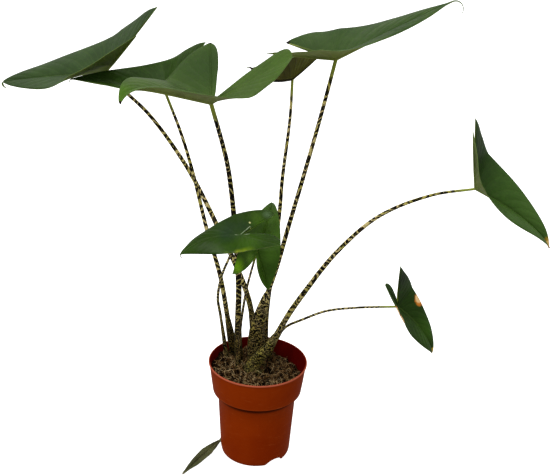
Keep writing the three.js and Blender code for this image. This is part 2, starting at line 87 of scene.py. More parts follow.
class Wire:
    def __init__(self, net, socket):
        self.net, self.socket = net, socket

    def math(self, operation, *others):
        return self.net.node("Math", {"operation": operation}, dict(enumerate((self, *others))))

    def __add__(self, other): return self.math("ADD", other)
    def __sub__(self, other): return self.math("SUBTRACT", other)
    def __mul__(self, other): return self.math("MULTIPLY", other)
    def __truediv__(self, other): return self.math("DIVIDE", other)
    def __radd__(self, other): return self + other
    def __rmul__(self, other): return self * other
    def __rsub__(self, other): return self.net.node("Math", {"operation": "SUBTRACT"}, {0: other, 1: self})
    def sine(self): return self.math("SINE")
    def absolute(self): return self.math("ABSOLUTE")
    def least(self, other): return self.math("MINIMUM", other)
    def most(self, other): return self.math("MAXIMUM", other)
    def fraction(self): return self.math("FRACT")

    def step(self, low, high):  # 0 below low and 1 above high, smooth between, and falling if low > high
        return self.net.node("MapRange", {"interpolation_type": "SMOOTHSTEP"}, {
            "Value": self, "From Min": low, "From Max": high, "To Min": 0.0, "To Max": 1.0})


class Net:
    def __init__(self, name, owner=None):
        self.owner = owner or bpy.data.materials.new(name)
        self.owner.use_nodes = True
        self.tree = self.owner.node_tree
        self.tree.nodes.clear()

    def node(self, kind, settings=None, values=None, output=0):
        made = self.tree.nodes.new("ShaderNode" + kind)
        for name, value in (settings or {}).items():
            if name == "stops":
                self.setStops(made.color_ramp, value)
            else:
                setattr(made, name, value)
        for name, value in (values or {}).items():
            socket = made.inputs[name]
            if isinstance(value, Wire):
                self.tree.links.new(value.socket, socket)
            else:
                socket.default_value = value
        return Wire(self, made.outputs[output]) if len(made.outputs) else None

    def setStops(self, ramp, stops):
        while len(ramp.elements) < len(stops):
            ramp.elements.new(1.0)
        for element, (place, colour) in zip(ramp.elements, stops):
            element.position, element.color = place, colour

    def place(self):  # where each point is, in the frame that all pieces share
        return self.node("TexCoord", output="Object")

    def mapped(self, vector, scale=(1, 1, 1), at=(0, 0, 0)):
        return self.node("Mapping", {}, {"Vector": vector, "Scale": scale, "Location": at})

    def attribute(self, name, output="Fac"):
        return self.node("Attribute", {"attribute_name": name}, output=output)

    def noise(self, vector, scale, detail=3.0, roughness=0.5, distortion=0.0):
        return self.node("TexNoise", {}, {"Vector": vector, "Scale": scale, "Detail": detail,
                                          "Roughness": roughness, "Distortion": distortion})

    def cells(self, vector, scale):
        return self.node("TexVoronoi", {}, {"Vector": vector, "Scale": scale}, output="Distance")

    def ramp(self, factor, stops):
        return self.node("ValToRGB", {"stops": stops}, {"Fac": factor}, output="Color")

    def blend(self, factor, first, second):  # colours; the second shows where factor is 1
        return self.node("Mix", {"data_type": "RGBA"}, {0: factor, 6: first, 7: second}, output=2)

    def vector(self, operation, first, second, output="Vector"):
        return self.node("VectorMath", {"operation": operation}, {0: first, 1: second}, output=output)

    def away(self, centre):  # how far each point is from the centre
        return self.vector("DISTANCE", self.place(), centre, "Value")

    def spot(self, centre, radius, soft=0.35, wobble=0.5, scale=220.0):  # 1 in a ragged patch round a point
        ragged = self.away(centre) / radius + (self.noise(self.place(), scale, 4.0, 0.6) - 0.5) * wobble
        return ragged.step(1.0, 1.0 - soft)

    def wash(self, centre, radius):  # 1 at a point, fading out to its radius
        return self.away(centre).step(radius, 0.0)

    def scratch(self, start, end, width):  # 1 on a thin straight line between two points
        line = Vector(end) - Vector(start)
        gone = self.vector("SUBTRACT", self.place(), start)
        share = self.vector("DOT_PRODUCT", gone, tuple(line / line.length_squared), "Value")
        near = self.vector("MULTIPLY", tuple(line), share.most(0.0).least(1.0))
        return self.vector("DISTANCE", gone, near, "Value").step(width, width * 0.3)

    def bump(self, height, distance, strength=1.0, normal=None):
        values = {"Height": height, "Distance": distance, "Strength": strength}
        if normal is not None:
            values["Normal"] = normal
        return self.node("Bump", {}, values)

    def finish(self, values):
        shader = self.node("BsdfPrincipled", {}, values)
        self.node("OutputMaterial", {}, {"Surface": shader})
        return self.owner


def paint(red, green, blue):  # a colour as the eye names it, 0 to 255, made linear for the shader
    def linear(value):
        value /= 255
        return value / 12.92 if value <= 0.04045 else ((value + 0.055) / 1.055) ** 2.4
    return (linear(red), linear(green), linear(blue), 1.0)


# Mesh helpers

def newObject(name, mesh, materials):
    piece = bpy.data.objects.new(name, mesh)
    scene.collection.objects.link(piece)
    for material in materials:
        mesh.materials.append(material)
    return piece


def meshFrom(name, shape):
    mesh = bpy.data.meshes.new(name)
    shape.to_mesh(mesh)
    shape.free()
    return mesh


def weld(shape, gap=0.02):  # joins points that lie closer than the gap, and turns all faces outward
    bmesh.ops.remove_doubles(shape, verts=shape.verts, dist=gap * mm)
    bmesh.ops.recalc_face_normals(shape, faces=shape.faces)


def turnRound(line, sides, gap=0.02):  # radius and height in mm, turned round the pot's axis
    shape = bmesh.new()
    verts = [shape.verts.new((radius * mm, 0, z * mm)) for radius, z in line]
    edges = [shape.edges.new(pair) for pair in zip(verts, verts[1:])]
    bmesh.ops.spin(shape, geom=verts + edges, cent=(0, 0, 0), axis=(0, 0, 1), angle=2 * math.pi,
                   steps=sides, use_merge=True)
    weld(shape, gap)
    return shape


def bake(piece):  # applies the modifiers and leaves a plain mesh
    seen = piece.evaluated_get(bpy.context.evaluated_depsgraph_get())
    mesh = bpy.data.meshes.new_from_object(seen)
    piece.modifiers.clear()
    piece.data = mesh
    return mesh


def smoothShade(mesh, angle=35):
    mesh.shade_smooth()
    mesh.set_sharp_from_angle(angle=math.radians(angle))


def register(piece, slot, *nodes):
    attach(piece, "root")
    if nodes:
        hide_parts(*nodes)


# Pot: turned wall with a beaded rim, a tapering collar, a shoulder and a straight body, notched at the foot

potShape = {
    "height": 148, "rimRadius": 70, "beadHeight": 3.2, "beadDepth": 1.2, "beadRound": 1.1,
    "collarBottom": 103.6, "collarBottomRadius": 63.5, "shoulderDrop": 2.5,
    "bodyTopRadius": 56, "bodyLowRadius": 50.4, "bodyLow": 8, "footRadius": 46,
    "wall": 1.8, "insideDepth": 0.8, "floorTop": 2.2, "sides": 160,
    "notches": (-54, 66, 186),  # degrees round the foot
    "notchWidth": 30, "notchHeight": 9.5, "notchInner": 34, "notchDepth": 24, "notchBelow": 4,
}
# Of these colours, the rim colour is a painted highlight on the bead, the crease colour is painted shade under
# the collar's ledge, and the inside colour is the inner wall's painted shade. The bloom colour is the
# plastic's own pale bloom and also the painted highlight on the collar's corner.
potColours = {
    "body": paint(146, 58, 6), "deep": paint(135, 48, 3), "bloomAndHighlight": paint(172, 92, 54),
    "rim": paint(178, 98, 74), "insideShade": paint(108, 16, 8), "shine": paint(255, 150, 90),
    "crease": paint(62, 20, 4),
}


def collarRadius(z, p=potShape):
    share = (z - p["collarBottom"]) / (p["height"] - p["beadHeight"] - p["collarBottom"])
    return p["collarBottomRadius"] + share * (p["rimRadius"] - p["beadDepth"] - p["collarBottomRadius"])


def bodyRadius(z, p=potShape):
    share = (z - p["bodyLow"]) / (p["collarBottom"] - p["shoulderDrop"] - p["bodyLow"])
    return p["bodyLowRadius"] + share * (p["bodyTopRadius"] - p["bodyLowRadius"])


def potProfile(p):
    top, low, bead, wall = p["height"], p["collarBottom"], p["beadHeight"], p["wall"]
    shoulder = low - p["shoulderDrop"]
    bulge = [(p["rimRadius"] + p["beadRound"] * (math.cos(a) - 1), top - bead / 2 + bead / 2 * math.sin(a))
             for a in (math.radians(d) for d in range(-70, 171, 20))]
    corner = [(p["footRadius"] + (p["bodyLowRadius"] - p["footRadius"]) * math.sin(a),
               p["bodyLow"] * (1 - math.cos(a))) for a in (math.radians(d) for d in range(0, 91, 15))]
    return [
        (0, 0), (p["footRadius"] - 6, 0), *corner[1:],
        (bodyRadius(40), 40), (bodyRadius(70), 70), (p["bodyTopRadius"] - 0.2, shoulder - 1.2),
        (p["bodyTopRadius"] + 0.4, shoulder), (p["collarBottomRadius"] - 1.2, low - 0.8),
        (p["collarBottomRadius"] - 0.2, low - 0.3), (p["collarBottomRadius"], low + 0.6),
        (collarRadius(120), 120), (p["rimRadius"] - p["beadDepth"] - 0.1, top - bead - 0.5), *bulge,
        (collarRadius(top - bead) - wall, top - bead - 0.6), (collarRadius(low + wall) - wall, low + wall),
        (bodyRadius(shoulder) - wall, shoulder + wall), (p["bodyLowRadius"] - wall, p["bodyLow"]),
        (p["footRadius"], p["floorTop"]), (0, p["floorTop"]),
    ]


def potNotch(p, turn):
    cutter = bmesh.new()
    half, high, start = p["notchWidth"] / 2, p["notchHeight"], -p["notchBelow"]
    arch = [(half * math.cos(a), start + (high - start) * math.sin(a) ** 0.8) for a in
            (math.pi * i / 24 for i in range(25))]
    corners = [cutter.verts.new((p["notchInner"] * mm, x * mm, z * mm)) for x, z in arch]
    face = cutter.faces.new(corners)
    moved = bmesh.ops.extrude_face_region(cutter, geom=[face])["geom"]
    bmesh.ops.translate(cutter, verts=[v for v in moved if isinstance(v, bmesh.types.BMVert)],
                        vec=(p["notchDepth"] * mm, 0, 0))
    bmesh.ops.recalc_face_normals(cutter, faces=cutter.faces)
    bmesh.ops.rotate(cutter, verts=cutter.verts, matrix=Matrix.Rotation(math.radians(turn), 3, "Z"))
    return newObject("notchCutter", meshFrom("notchCutter", cutter), [])


def cutNotches(piece, p):
    cutters = [potNotch(p, turn) for turn in p["notches"]]
    for cutter in cutters:
        cut = piece.modifiers.new("notch", "BOOLEAN")
        cut.operation, cut.object, cut.solver = "DIFFERENCE", cutter, "EXACT"
    mesh = bake(piece)
    for cutter in cutters:
        bpy.data.objects.remove(cutter)
    return mesh


def plasticMaterial(c):
    net = Net("potPlastic")
    here = net.place()
    height = net.node("SeparateXYZ", {}, {0: here}, output="Z")
    flat = net.mapped(here, (1, 1, 0))
    top, rim = potShape["height"] * mm, potShape["rimRadius"] * mm
    corner = potShape["collarBottom"] * mm
    shoulder = corner - potShape["shoulderDrop"] * mm
    radius = net.vector("DISTANCE", flat, (0, 0, 0), "Value")
    cloud = net.noise(here, 9.0, 4.0, 0.55)
    scuff = net.noise(net.mapped(here, (1, 1, 5)), 60.0, 5.0, 0.65)
    fine = net.noise(here, 900.0, 2.0, 0.5)
    colour = net.blend(cloud.step(0.35, 0.65), c["body"], c["deep"])
    colour = net.blend(scuff.step(0.55, 0.75) * 0.3, colour, c["bloomAndHighlight"])
    streak = net.noise(net.mapped(here, (1, 1, 0.12)), 90.0, 4.0, 0.6)
    colour = net.blend(streak.step(0.52, 0.7) * 0.3, colour, c["deep"])
    # The bead round the rim is painted paler all round: a painted highlight.
    bead = height.step(top - 0.0028, top - 0.0014) * radius.step(rim - 0.0018, rim - 0.0008)
    colour = net.blend(bead, colour, c["rim"])
    # A dark band on the body just under the collar's ledge: painted shade under the ledge.
    crease = height.step(shoulder - 0.0085, shoulder - 0.0035) * height.step(corner + 0.0006, corner + 0.0001)
    # A thin paler line just above the collar's lower corner, made patchy by the scuffs: a painted highlight on
    # the corner.
    cornerHighlight = height.step(corner + 0.0002, corner + 0.001) * height.step(corner + 0.0022, corner + 0.0014)
    colour = net.blend(crease * 0.9, colour, c["crease"])
    colour = net.blend(cornerHighlight * (0.2 + scuff.step(0.5, 0.75) * 0.8), colour, c["bloomAndHighlight"])
    lean = collarRadius(1) - collarRadius(0)  # the inside mask leans out with the collar
    wallMiddle = (collarRadius(0) - potShape["insideDepth"]) * mm
    # The inner wall is painted darker and redder than the same plastic outside: painted shade inside the pot.
    insideShade = (radius - height * lean).step(wallMiddle + 0.0004, wallMiddle - 0.0004)
    insideShade = insideShade * height.step(corner + 0.001, corner + 0.003)
    colour = net.blend(insideShade, colour, c["insideShade"])
    rough = 0.42 + (scuff - 0.5) * 0.25 + fine * 0.06
    normal = net.bump(fine, 0.00012, 0.5, net.bump(cloud, 0.0012, 0.35))
    return net.finish({"Base Color": colour, "Roughness": rough, "Normal": normal,
                       "Specular IOR Level": 0.06, "IOR": 1.3, "Specular Tint": c["shine"]})


def makePot(p):
    shape = turnRound(potProfile(p), p["sides"])
    pot = newObject("potWall", meshFrom("potWall", shape), [plasticMaterial(potColours)])
    smoothShade(cutNotches(pot, p))
    register(pot, "pot", "pot")


makePot(potShape)
print("pot turned")


# Leaves: where each blade meets its stalk, how it points, and its shape, as in the solids, in millimetres
# and degrees. A pair on a blade is its left and its right half, looking from the stalk to the tip. The stalk
# has its route, its radius at the foot and at the blade, what the sheath adds from side to side and from front
# to back, how high above the soil the sheath reaches, and how far short of the junction the stalk ends

leaves = {
    "leaf_1": {
        "junction": (-220, 88, 533), "heading": 156, "pitch": -10, "roll": -18, "length": 175,
        "lobe": 0.7, "spread": 31, "width": 0.35, "ahead": 0.08, "fold": (26, 23), "wing": (23, 27),
        "droop": 5, "late": 1.3, "tail": 15, "hook": 160,
        "inner": (0.13, 0.13), "outer": (0.09, 0.19), "lift": (-0.1, -0.02),
        "blunt": (0, 0.06), "rounded": (0.15, 0),
        "stalk": ((-6, 46, 128), (-9, 48, 181), (-21, 50, 234), (-65, 59, 331), (-106, 67, 409),
                  (-157, 77, 478), (-190, 83, 508)),
        "radius": (4.6, 2.1), "sheath": (2.6, 2.6), "reach": 70,
    },
    "leaf_2": {
        "junction": (-132, 32, 524), "heading": 169, "pitch": 3, "roll": -11, "length": 126,
        "lobe": 0.73, "spread": 36, "width": 0.36, "ahead": 0.08, "fold": (30, 38), "wing": (35, 43),
        "droop": 0, "late": 1.3, "tail": 11, "hook": 95,
        "inner": (0.12, 0.12), "outer": (0.1, 0.23), "lift": (0.02, 0.01),
        "stalk": ((-34, 37, 131), (-44, 36, 186), (-57, 35, 261), (-77, 34, 334), (-96, 33, 415),
                  (-112, 33, 470)),
        "radius": (4.1, 1.8), "sheath": (3.2, 2), "reach": 62,
    },
    "leaf_3": {
        "junction": (-65, -100, 549), "heading": 227, "pitch": 19, "roll": 15, "length": 146,
        "lobe": 0.76, "spread": 55, "width": 0.41, "ahead": 0.1, "fold": (2, 25), "wing": (50, 39),
        "droop": 80, "late": 8, "tail": 3, "hook": 55,
        "inner": (0.51, 0.3), "outer": (0.25, 0.29), "lift": (0.04, 0.11),
        "lead": (-0.08, 0.07), "long": (0.98, 0.94), "swell": (0.63, 0.21), "rounded": (0.08, 0.08),
        "stalk": ((-27, 21, 130), (-30, 14, 199), (-30, 2, 264), (-38, -30, 383), (-45, -55, 452),
                  (-51, -70, 486)),
        "radius": (4.8, 2.5), "sheath": (1.7, 1.7), "reach": 70,
    },
    "leaf_4": {
        "junction": (33, 70, 539), "heading": 233, "pitch": 3, "roll": 11, "length": 91,
        "lobe": 0.65, "spread": 29, "width": 0.38, "ahead": 0.06, "fold": (59, 46), "wing": (2, 9),
        "droop": -39, "late": 1.6, "tail": 9, "hook": 60,
        "inner": (0.11, 0.12), "outer": (0.11, 0.1), "lift": (0, 0.01),
        "stalk": ((10, 47, 126), (9, 48, 159), (11, 50, 212), (16, 52, 265), (23, 57, 353), (25, 60, 401),
                  (32, 66, 486)),
        "radius": (4.2, 1.8), "sheath": (1.6, 1.6), "reach": 60,
    },
    "leaf_5": {
        "junction": (85, 10, 581), "heading": -20, "pitch": 32, "roll": 0, "length": 162,
        "lobe": 0.54, "spread": 33, "width": 0.35, "ahead": 0.05, "fold": (30, 21), "wing": (25, 24),
        "droop": 2, "late": 1.4, "tail": 24, "hook": 146,
        "inner": (-0.1, 0.14), "outer": (0.36, 0.14), "lift": (-0.06, -0.15),
        "long": (0.89, 1),
        "stalk": ((-2, 21, 128), (-3, 19, 186), (3, 19, 218), (22, 18, 288), (34, 16, 343), (54, 14, 431),
                  (71, 12, 510)),
        "radius": (3.9, 2.4), "sheath": (10.6, 4), "reach": 118, "short": 0.3,
    },
    "leaf_6": {
        "junction": (265, -60, 440), "heading": -6, "pitch": -26, "roll": 21, "length": 128,
        "lobe": 0.73, "spread": 36, "width": 0.39, "ahead": -0.03, "fold": (31, 42), "wing": (49, 48),
        "droop": 33, "late": 1.95, "tail": 1.5, "hook": 40,
        "inner": (0.12, 0.13), "outer": (0.11, 0), "lift": (0.16, -0.09),
        "blunt": (0, 0.14),
        "stalk": ((-10, 3, 127), (-1, 3, 147), (11, 2, 163), (26, 0, 192), (41, -1, 224), (59, -2, 256),
                  (100, -9, 323), (152, -23, 384), (214, -43, 423)),
        "radius": (5.0, 1.5), "sheath": (6.5, 2.2), "reach": 62,
    },
    "leaf_7": {
        "junction": (185, -40, 261), "heading": 4, "pitch": -38, "roll": 24, "length": 98,
        "lobe": 0.68, "spread": 30, "width": 0.36, "ahead": 0.07, "fold": (28, 18), "wing": (39, 24),
        "droop": 37, "late": 1.2, "tail": 2, "hook": 40,
        "inner": (0.02, 0.5), "outer": (0.07, -0.03), "lift": (0.11, -0.07),
        "blunt": (0.03, 0.08), "rounded": (0, 0.08), "long": (1, 0.98),
        "stalk": ((15, 32, 126), (18, 27, 146), (27, 18, 175), (37, 11, 196), (61, -4, 218), (91, -12, 236),
                  (131, -24, 249)),
        "radius": (2.1, 1.4), "sheath": (1.4, 1.4), "reach": 60,
    },
    "leaf_8": {
        "junction": (-27, -95, 382), "heading": 191, "pitch": 2, "roll": -21, "length": 82,
        "lobe": 0.69, "spread": 35, "width": 0.37, "ahead": 0.07, "fold": (-2, 9), "wing": (15, -1),
        "droop": 57, "late": 1.35, "tail": 9, "hook": 89,
        "inner": (0.62, 0.04), "outer": (-0.03, 0.41), "lift": (-0.04, -0.05),
        "blunt": (0.02, -0.02), "rounded": (-0.08, 0.4), "long": (0.98, 1.01), "swell": (-0.06, 0.25),
        "stalk": ((-45, 28, 133), (-50, 22, 171), (-55, 9, 215), (-58, -6, 247), (-53, -28, 289),
                  (-42, -56, 331)),
        "radius": (2.3, 1.5), "sheath": (1.2, 1.2), "reach": 60,
    },
    "leaf_9": {
        "junction": (-6, -70, 349), "heading": 68, "pitch": 41, "roll": 27, "length": 87,
        "lobe": 0.66, "spread": 31, "width": 0.33, "ahead": 0.1, "fold": (35, 16), "wing": (6, -48),
        "droop": 42, "late": 1.55, "tail": 4, "hook": 60,
        "inner": (0.26, 0.32), "outer": (0.02, 0.09), "lift": (-0.04, 0.01),
        "rounded": (0.2, 0),
        "stalk": ((-29, 6, 130), (-27, 1, 162), (-26, -9, 200), (-23, -21, 237), (-18, -37, 280)),
        "radius": (2.1, 1.4), "sheath": (1.6, 1.6), "reach": 60,
    },
    "leaf_10": {
        "junction": (-52.4, 8.2, 3.4), "heading": -120.5, "pitch": -1, "roll": 0, "length": 93,
        "lobe": 0.02, "spread": 70, "width": 0.095, "ahead": 0.42, "fold": (12, 16), "wing": (0, 0),
        "apex": 0.01, "droop": -1, "late": 1.5, "tail": 3, "hook": 0,
        "inner": (0.1, 0.1), "outer": (0.1, 0.1), "lift": (0, 0),
        "stalk": ((2, 56, 127), (0, 61, 145), (-1, 67, 151), (-3, 74, 150), (-5, 79, 140), (-9, 80, 100),
                  (-16, 78, 50), (-27, 66, 9), (-37, 44.5, 2.6), (-45.5, 27, 2.6), (-49.8, 17.5, 2.6)),
        "radius": (2.0, 1.6), "sheath": (0, 0), "reach": 20, "short": 2,
    },
}

bladeShape = {
    "tailColumns": 8, "frontColumns": 60, "lobeColumns": 30, "outerRows": 16, "innerRows": 8,
    "midribCrowding": 1.3, "lobeCrowding": 1.2, "rowCrowding": 1.4, "tailTaper": 0.8,
    "belly": 0.022, "wave": 0.0132, "groove": 0.5, "grooveWidth": 1.4, "quilt": 0.2, "quiltSize": 110,
    "settle": 3, "fullWidth": 12,  # mm from the rib where the sheet lies square to it, and is fully waved
    "veins": 8, "veinBend": 0.16, "veinCurl": 0.06,
    "thickness": 2.2, "thinShare": 0.3, "ridgeWidth": 2.2, "aboveSheet": 0.4,
}


def bezier(points, t):
    a, b, c, d = points
    s = 1 - t
    return a * s ** 3 + b * (3 * s * s * t) + c * (3 * s * t * t) + d * t ** 3


def along(points, t):
    x = min(max(t, 0.0), 1.0) * (len(points) - 1)
    i = min(int(x), len(points) - 2)
    return points[i].lerp(points[i + 1], x - i)


def turned(vector, axis, angle):
    vector = vector.copy()
    vector.rotate(Quaternion(axis, angle))
    return vector


def leafFrame(leaf):  # forward along the midrib, left, and up out of the upper face
    heading, pitch, roll = (math.radians(leaf[name]) for name in ("heading", "pitch", "roll"))
    forward = Vector((math.cos(heading) * math.cos(pitch), math.sin(heading) * math.cos(pitch),
                      math.sin(pitch)))
    left = turned(Vector((-math.sin(heading), math.cos(heading), 0)), forward, roll)
    return forward, left, forward.cross(left)


def bentLine(start, forward, up, length, angleAt, steps):
    points = [start.copy()]
    for i in range(steps):
        angle = angleAt((i + 0.5) / steps)
        points.append(points[-1] + (forward * math.cos(angle) - up * math.sin(angle)) * (length / steps))
    return points


def halfCurves(leaf, side):  # ribs and edges of the left (side 1) or the right (side -1) half
    forward, left, up = leafFrame(leaf)
    pick = 0 if side > 0 else 1
    blunt, swell, rounded = (leaf.get(key, (0, 0))[pick] for key in ("blunt", "swell", "rounded"))
    size, droop, spread = leaf["length"], math.radians(leaf["droop"]), math.radians(leaf["spread"])
    midrib = bentLine(Vector(), forward, up, size, lambda t: droop * t ** leaf["late"], 60)
    tip = midrib[-1]
    tipForward = forward * math.cos(droop) - up * math.sin(droop)
    tipUp = up * math.cos(droop) + forward * math.sin(droop)
    tail = bentLine(tip, tipForward, tipUp, leaf["tail"], lambda t: math.radians(leaf["hook"]) * t, 12)

    def wideAndLobe(s):
        which = 0 if s > 0 else 1
        fold = math.radians(leaf["fold"][which]) * s
        ahead = leaf["ahead"] + leaf.get("lead", (0, 0))[which]
        reach = leaf["lobe"] * leaf.get("long", (1, 1))[which] * size
        wide = turned(forward * (ahead * size) + left * (leaf["width"] * size * s), forward, fold)
        lobe = (forward * -math.cos(spread) + left * (math.sin(spread) * s)) * reach
        lobe = turned(turned(lobe, forward, fold), wide.normalized(), math.radians(leaf["wing"][which]) * s)
        return wide, lobe, ahead

    wide, lobe, ahead = wideAndLobe(side)
    back = (lobe.normalized() + wideAndLobe(-side)[1].normalized()).normalized()
    apex = back * (leaf.get("apex", 0.055) * size)
    lateral = wide - forward * (ahead * size)
    edgeWay = (lobe - tip).normalized()
    rise = forward.cross(lateral).normalized() * (side * leaf["lift"][pick] * size)
    tipWide = (1 + 0.008 * size) * (1 + 12 * blunt)
    tipWidth = (lateral - tipForward * lateral.dot(tipForward)).normalized() * tipWide
    depth = math.cos(spread) * leaf["lobe"] * size
    inner = leaf["inner"][pick]
    outward = lateral.normalized() * (leaf["outer"][pick] * leaf["width"] * size)
    # Each edge is a curve from end to end, with handles at the shares of its length given here
    return {
        "up": up, "size": size, "midrib": midrib, "tail": tail, "tipWidth": tipWidth, "lobe": lobe,
        "frontEdge": (tip + tipWidth, tip - tipForward * (0.2 * size) + lateral * (0.36 + blunt) + rise * 0.5,
                      wide - edgeWay * (0.34 * size) + rise, wide),
        "backEdge": (wide, wide + edgeWay * (0.25 * (wide - lobe).length),
                     lobe.lerp(wide, 0.42 - rounded) + outward, lobe),
        "innerEdge": (apex, apex + lobe * 0.14 + back * ((inner - swell) * depth),
                      lobe * (0.6 + rounded / 2) + back * ((inner - 0.02 + swell) * depth), lobe),
    }


# A place on a half has a run, which is -1 to 0 in the drip tip, 0 to 1 down the midrib and 1 to 2 out along
# the lobe, and an out, which is 0 at the rib and 1 at the margin

def ribAndEdge(curves, run, inner):
    shape = bladeShape
    if run < 0:
        rib = along(curves["tail"], -run)
        return rib, rib + curves["tipWidth"] * (1 + shape["tailTaper"] * run), 0
    if run <= 1 and not inner:
        rib = along(curves["midrib"], (1 - run) ** shape["midribCrowding"])
        return rib, bezier(curves["frontEdge"], run), math.sin(math.pi * min(run, 0.75))
    t = min(run - 1, 1)
    rib = curves["lobe"] * t ** shape["lobeCrowding"]
    if inner:
        return rib, bezier(curves["innerEdge"], t), 0.6 * (1 - t) * min(6 * t, 1)
    return rib, bezier(curves["backEdge"], t), 0.7 * (1 - t)


def veinAt(run, out):  # whole numbers are the side veins, which curve towards the tip, or back in the lobes
    shape = bladeShape
    bend = min(max((run - 1.1) / 0.5, -1), 1)
    return shape["veins"] * (run - bend * (shape["veinBend"] * out + shape["veinCurl"] * out * out))


def sheetPoint(curves, side, run, out, inner=False):  # the place, and its distances from the rib and margin
    shape, size = bladeShape, curves["size"]
    rib, edge, fullness = ribAndEdge(curves, run, inner)
    chord = edge - rib
    width = chord.length
    chord.normalize()
    up = curves["up"]  # at the rib, where the parts of the sheet meet, they all rise straight up
    square = (up - chord * up.dot(chord)).normalized()
    lift = up.lerp(square, min(out * width / shape["settle"], 1)).normalized()
    bow = 4 * out * (1 - out)
    raised = shape["belly"] * size * fullness * bow
    if run >= 0:
        broad = min(width / shape["fullWidth"], 1) * (min(6 * (run - 1), 1) if inner else 1)
        ends = min(run * 6, 1) * min((2 - run) * 4, 1)  # the groove fades out at the tip and in the lobe
        phase = veinAt(run, out)
        raised -= shape["groove"] * ends * math.exp(-(out * width / shape["grooveWidth"]) ** 2)
        bulge = shape["quilt"] * min(size / shape["quiltSize"], 1.3)  # between the side veins
        raised -= bulge * broad * bow * math.cos(2 * math.pi * phase)
        sway = noise.noise(Vector((run * 3.1 + curves["seed"], side * 4.0, out * 0.7)))
        raised += shape["wave"] * size * broad * out * out * sway
    return rib.lerp(edge, out) + lift * (raised + shape["aboveSheet"]), out * width, (1 - out) * width


bladeNumbers = ("leafRun", "leafVein", "leafRib", "leafEdge")


def makeSheet(leaf, seed):
    shape = bladeShape
    sheet = bmesh.new()
    layers = [sheet.verts.layers.float.new(name) for name in bladeNumbers]
    weights = sheet.verts.layers.deform.verify()
    junction = Vector(leaf["junction"])
    front = shape["tailColumns"] + shape["frontColumns"]
    outer = front + shape["lobeColumns"]
    for side in (1, -1):
        curves = halfCurves(leaf, side)
        curves["seed"] = seed * 7.3
        for inner in (False, True):
            columns = shape["lobeColumns"] if inner else outer
            rows = shape["innerRows"] if inner else shape["outerRows"]
            made = bmesh.ops.create_grid(sheet, x_segments=columns, y_segments=rows, size=0.5)["verts"]
            for vert in made:
                column = (vert.co.x + 0.5) * columns
                out = (vert.co.y + 0.5) ** shape["rowCrowding"]
                if inner:
                    run = 1 + column / columns
                elif column < shape["tailColumns"]:
                    run = column / shape["tailColumns"] - 1
                elif column <= front:
                    run = (column - shape["tailColumns"]) / shape["frontColumns"]
                else:
                    run = 1 + (column - front) / shape["lobeColumns"]
                place, fromRib, fromEdge = sheetPoint(curves, side, run, out, inner)
                vert.co = (place + junction) * mm
                for layer, value in zip(layers, (run, veinAt(run, out), fromRib, fromEdge)):
                    vert[layer] = value
                stout = min(max(run, 0) * 4, max(2 - run, 0) * 1.6, 1)
                vert[weights][0] = stout * math.exp(-(fromRib / shape["ridgeWidth"]) ** 2)
            faces = {face for vert in made for face in vert.link_faces}
            bmesh.ops.recalc_face_normals(sheet, faces=list(faces))
    weld(sheet)
    up = leafFrame(leaf)[2]
    if sum(face.normal.dot(up) * face.calc_area() for face in sheet.faces) < 0:  # the upper face looks up
        bmesh.ops.reverse_faces(sheet, faces=sheet.faces)
    return sheet


# The underside colours are the leaves' own underside colours with the light bounced up from the floor painted
# in, since the floor lights nothing: painted bounce light.
bladeLooks = {
    "common": {
        "top": paint(62, 88, 38), "deep": paint(48, 72, 28), "vein": paint(104, 126, 66),
        "under": paint(114, 130, 58), "underDeepWithBounce": paint(92, 108, 42), "underVeinWithBounce": paint(148, 158, 84),
        "margin": paint(96, 116, 56), "roughness": 0.4, "glow": 0.08, "scar": paint(176, 190, 160),
        "veins": 1.0, "rim": 0.2, "ribWide": 0.7,
    },
    "leaf_1": {"top": paint(60, 82, 41), "deep": paint(48, 68, 33)},
    "leaf_2": {"top": paint(64, 88, 38), "deep": paint(46, 67, 24)},
    "leaf_3": {"top": paint(78, 102, 42), "deep": paint(62, 84, 32), "under": paint(138, 150, 84),
               "underDeepWithBounce": paint(112, 118, 66)},
    "leaf_4": {"top": paint(56, 82, 34), "under": paint(112, 114, 44), "underDeepWithBounce": paint(80, 78, 26),
               "underVeinWithBounce": paint(40, 34, 12), "veins": 1.7},
    "leaf_5": {"top": paint(69, 91, 43), "under": paint(140, 152, 78), "underDeepWithBounce": paint(118, 128, 62)},
    "leaf_6": {"top": paint(70, 99, 40), "deep": paint(55, 82, 31), "under": paint(150, 162, 100)},
    "leaf_7": {"top": paint(50, 78, 18), "deep": paint(40, 64, 12)},
    "leaf_8": {"top": paint(54, 82, 20), "deep": paint(46, 70, 16), "roughness": 0.34, "veins": 0.35,
               "under": paint(80, 110, 28), "underDeepWithBounce": paint(62, 90, 20)},
    "leaf_9": {"top": paint(78, 110, 36), "deep": paint(66, 96, 26), "veins": 0.6,
               "under": paint(104, 144, 32), "underDeepWithBounce": paint(86, 124, 24)},
    "leaf_10": {
        "top": paint(100, 104, 68), "deep": paint(60, 64, 40), "vein": paint(176, 174, 136),
        "under": paint(98, 96, 58), "underDeepWithBounce": paint(66, 62, 36), "underVeinWithBounce": paint(160, 150, 100),
        "margin": paint(40, 38, 20), "roughness": 0.62, "glow": 0.03,
        "veins": 2.2, "rim": 1.2, "ribWide": 2.2,
    },
}


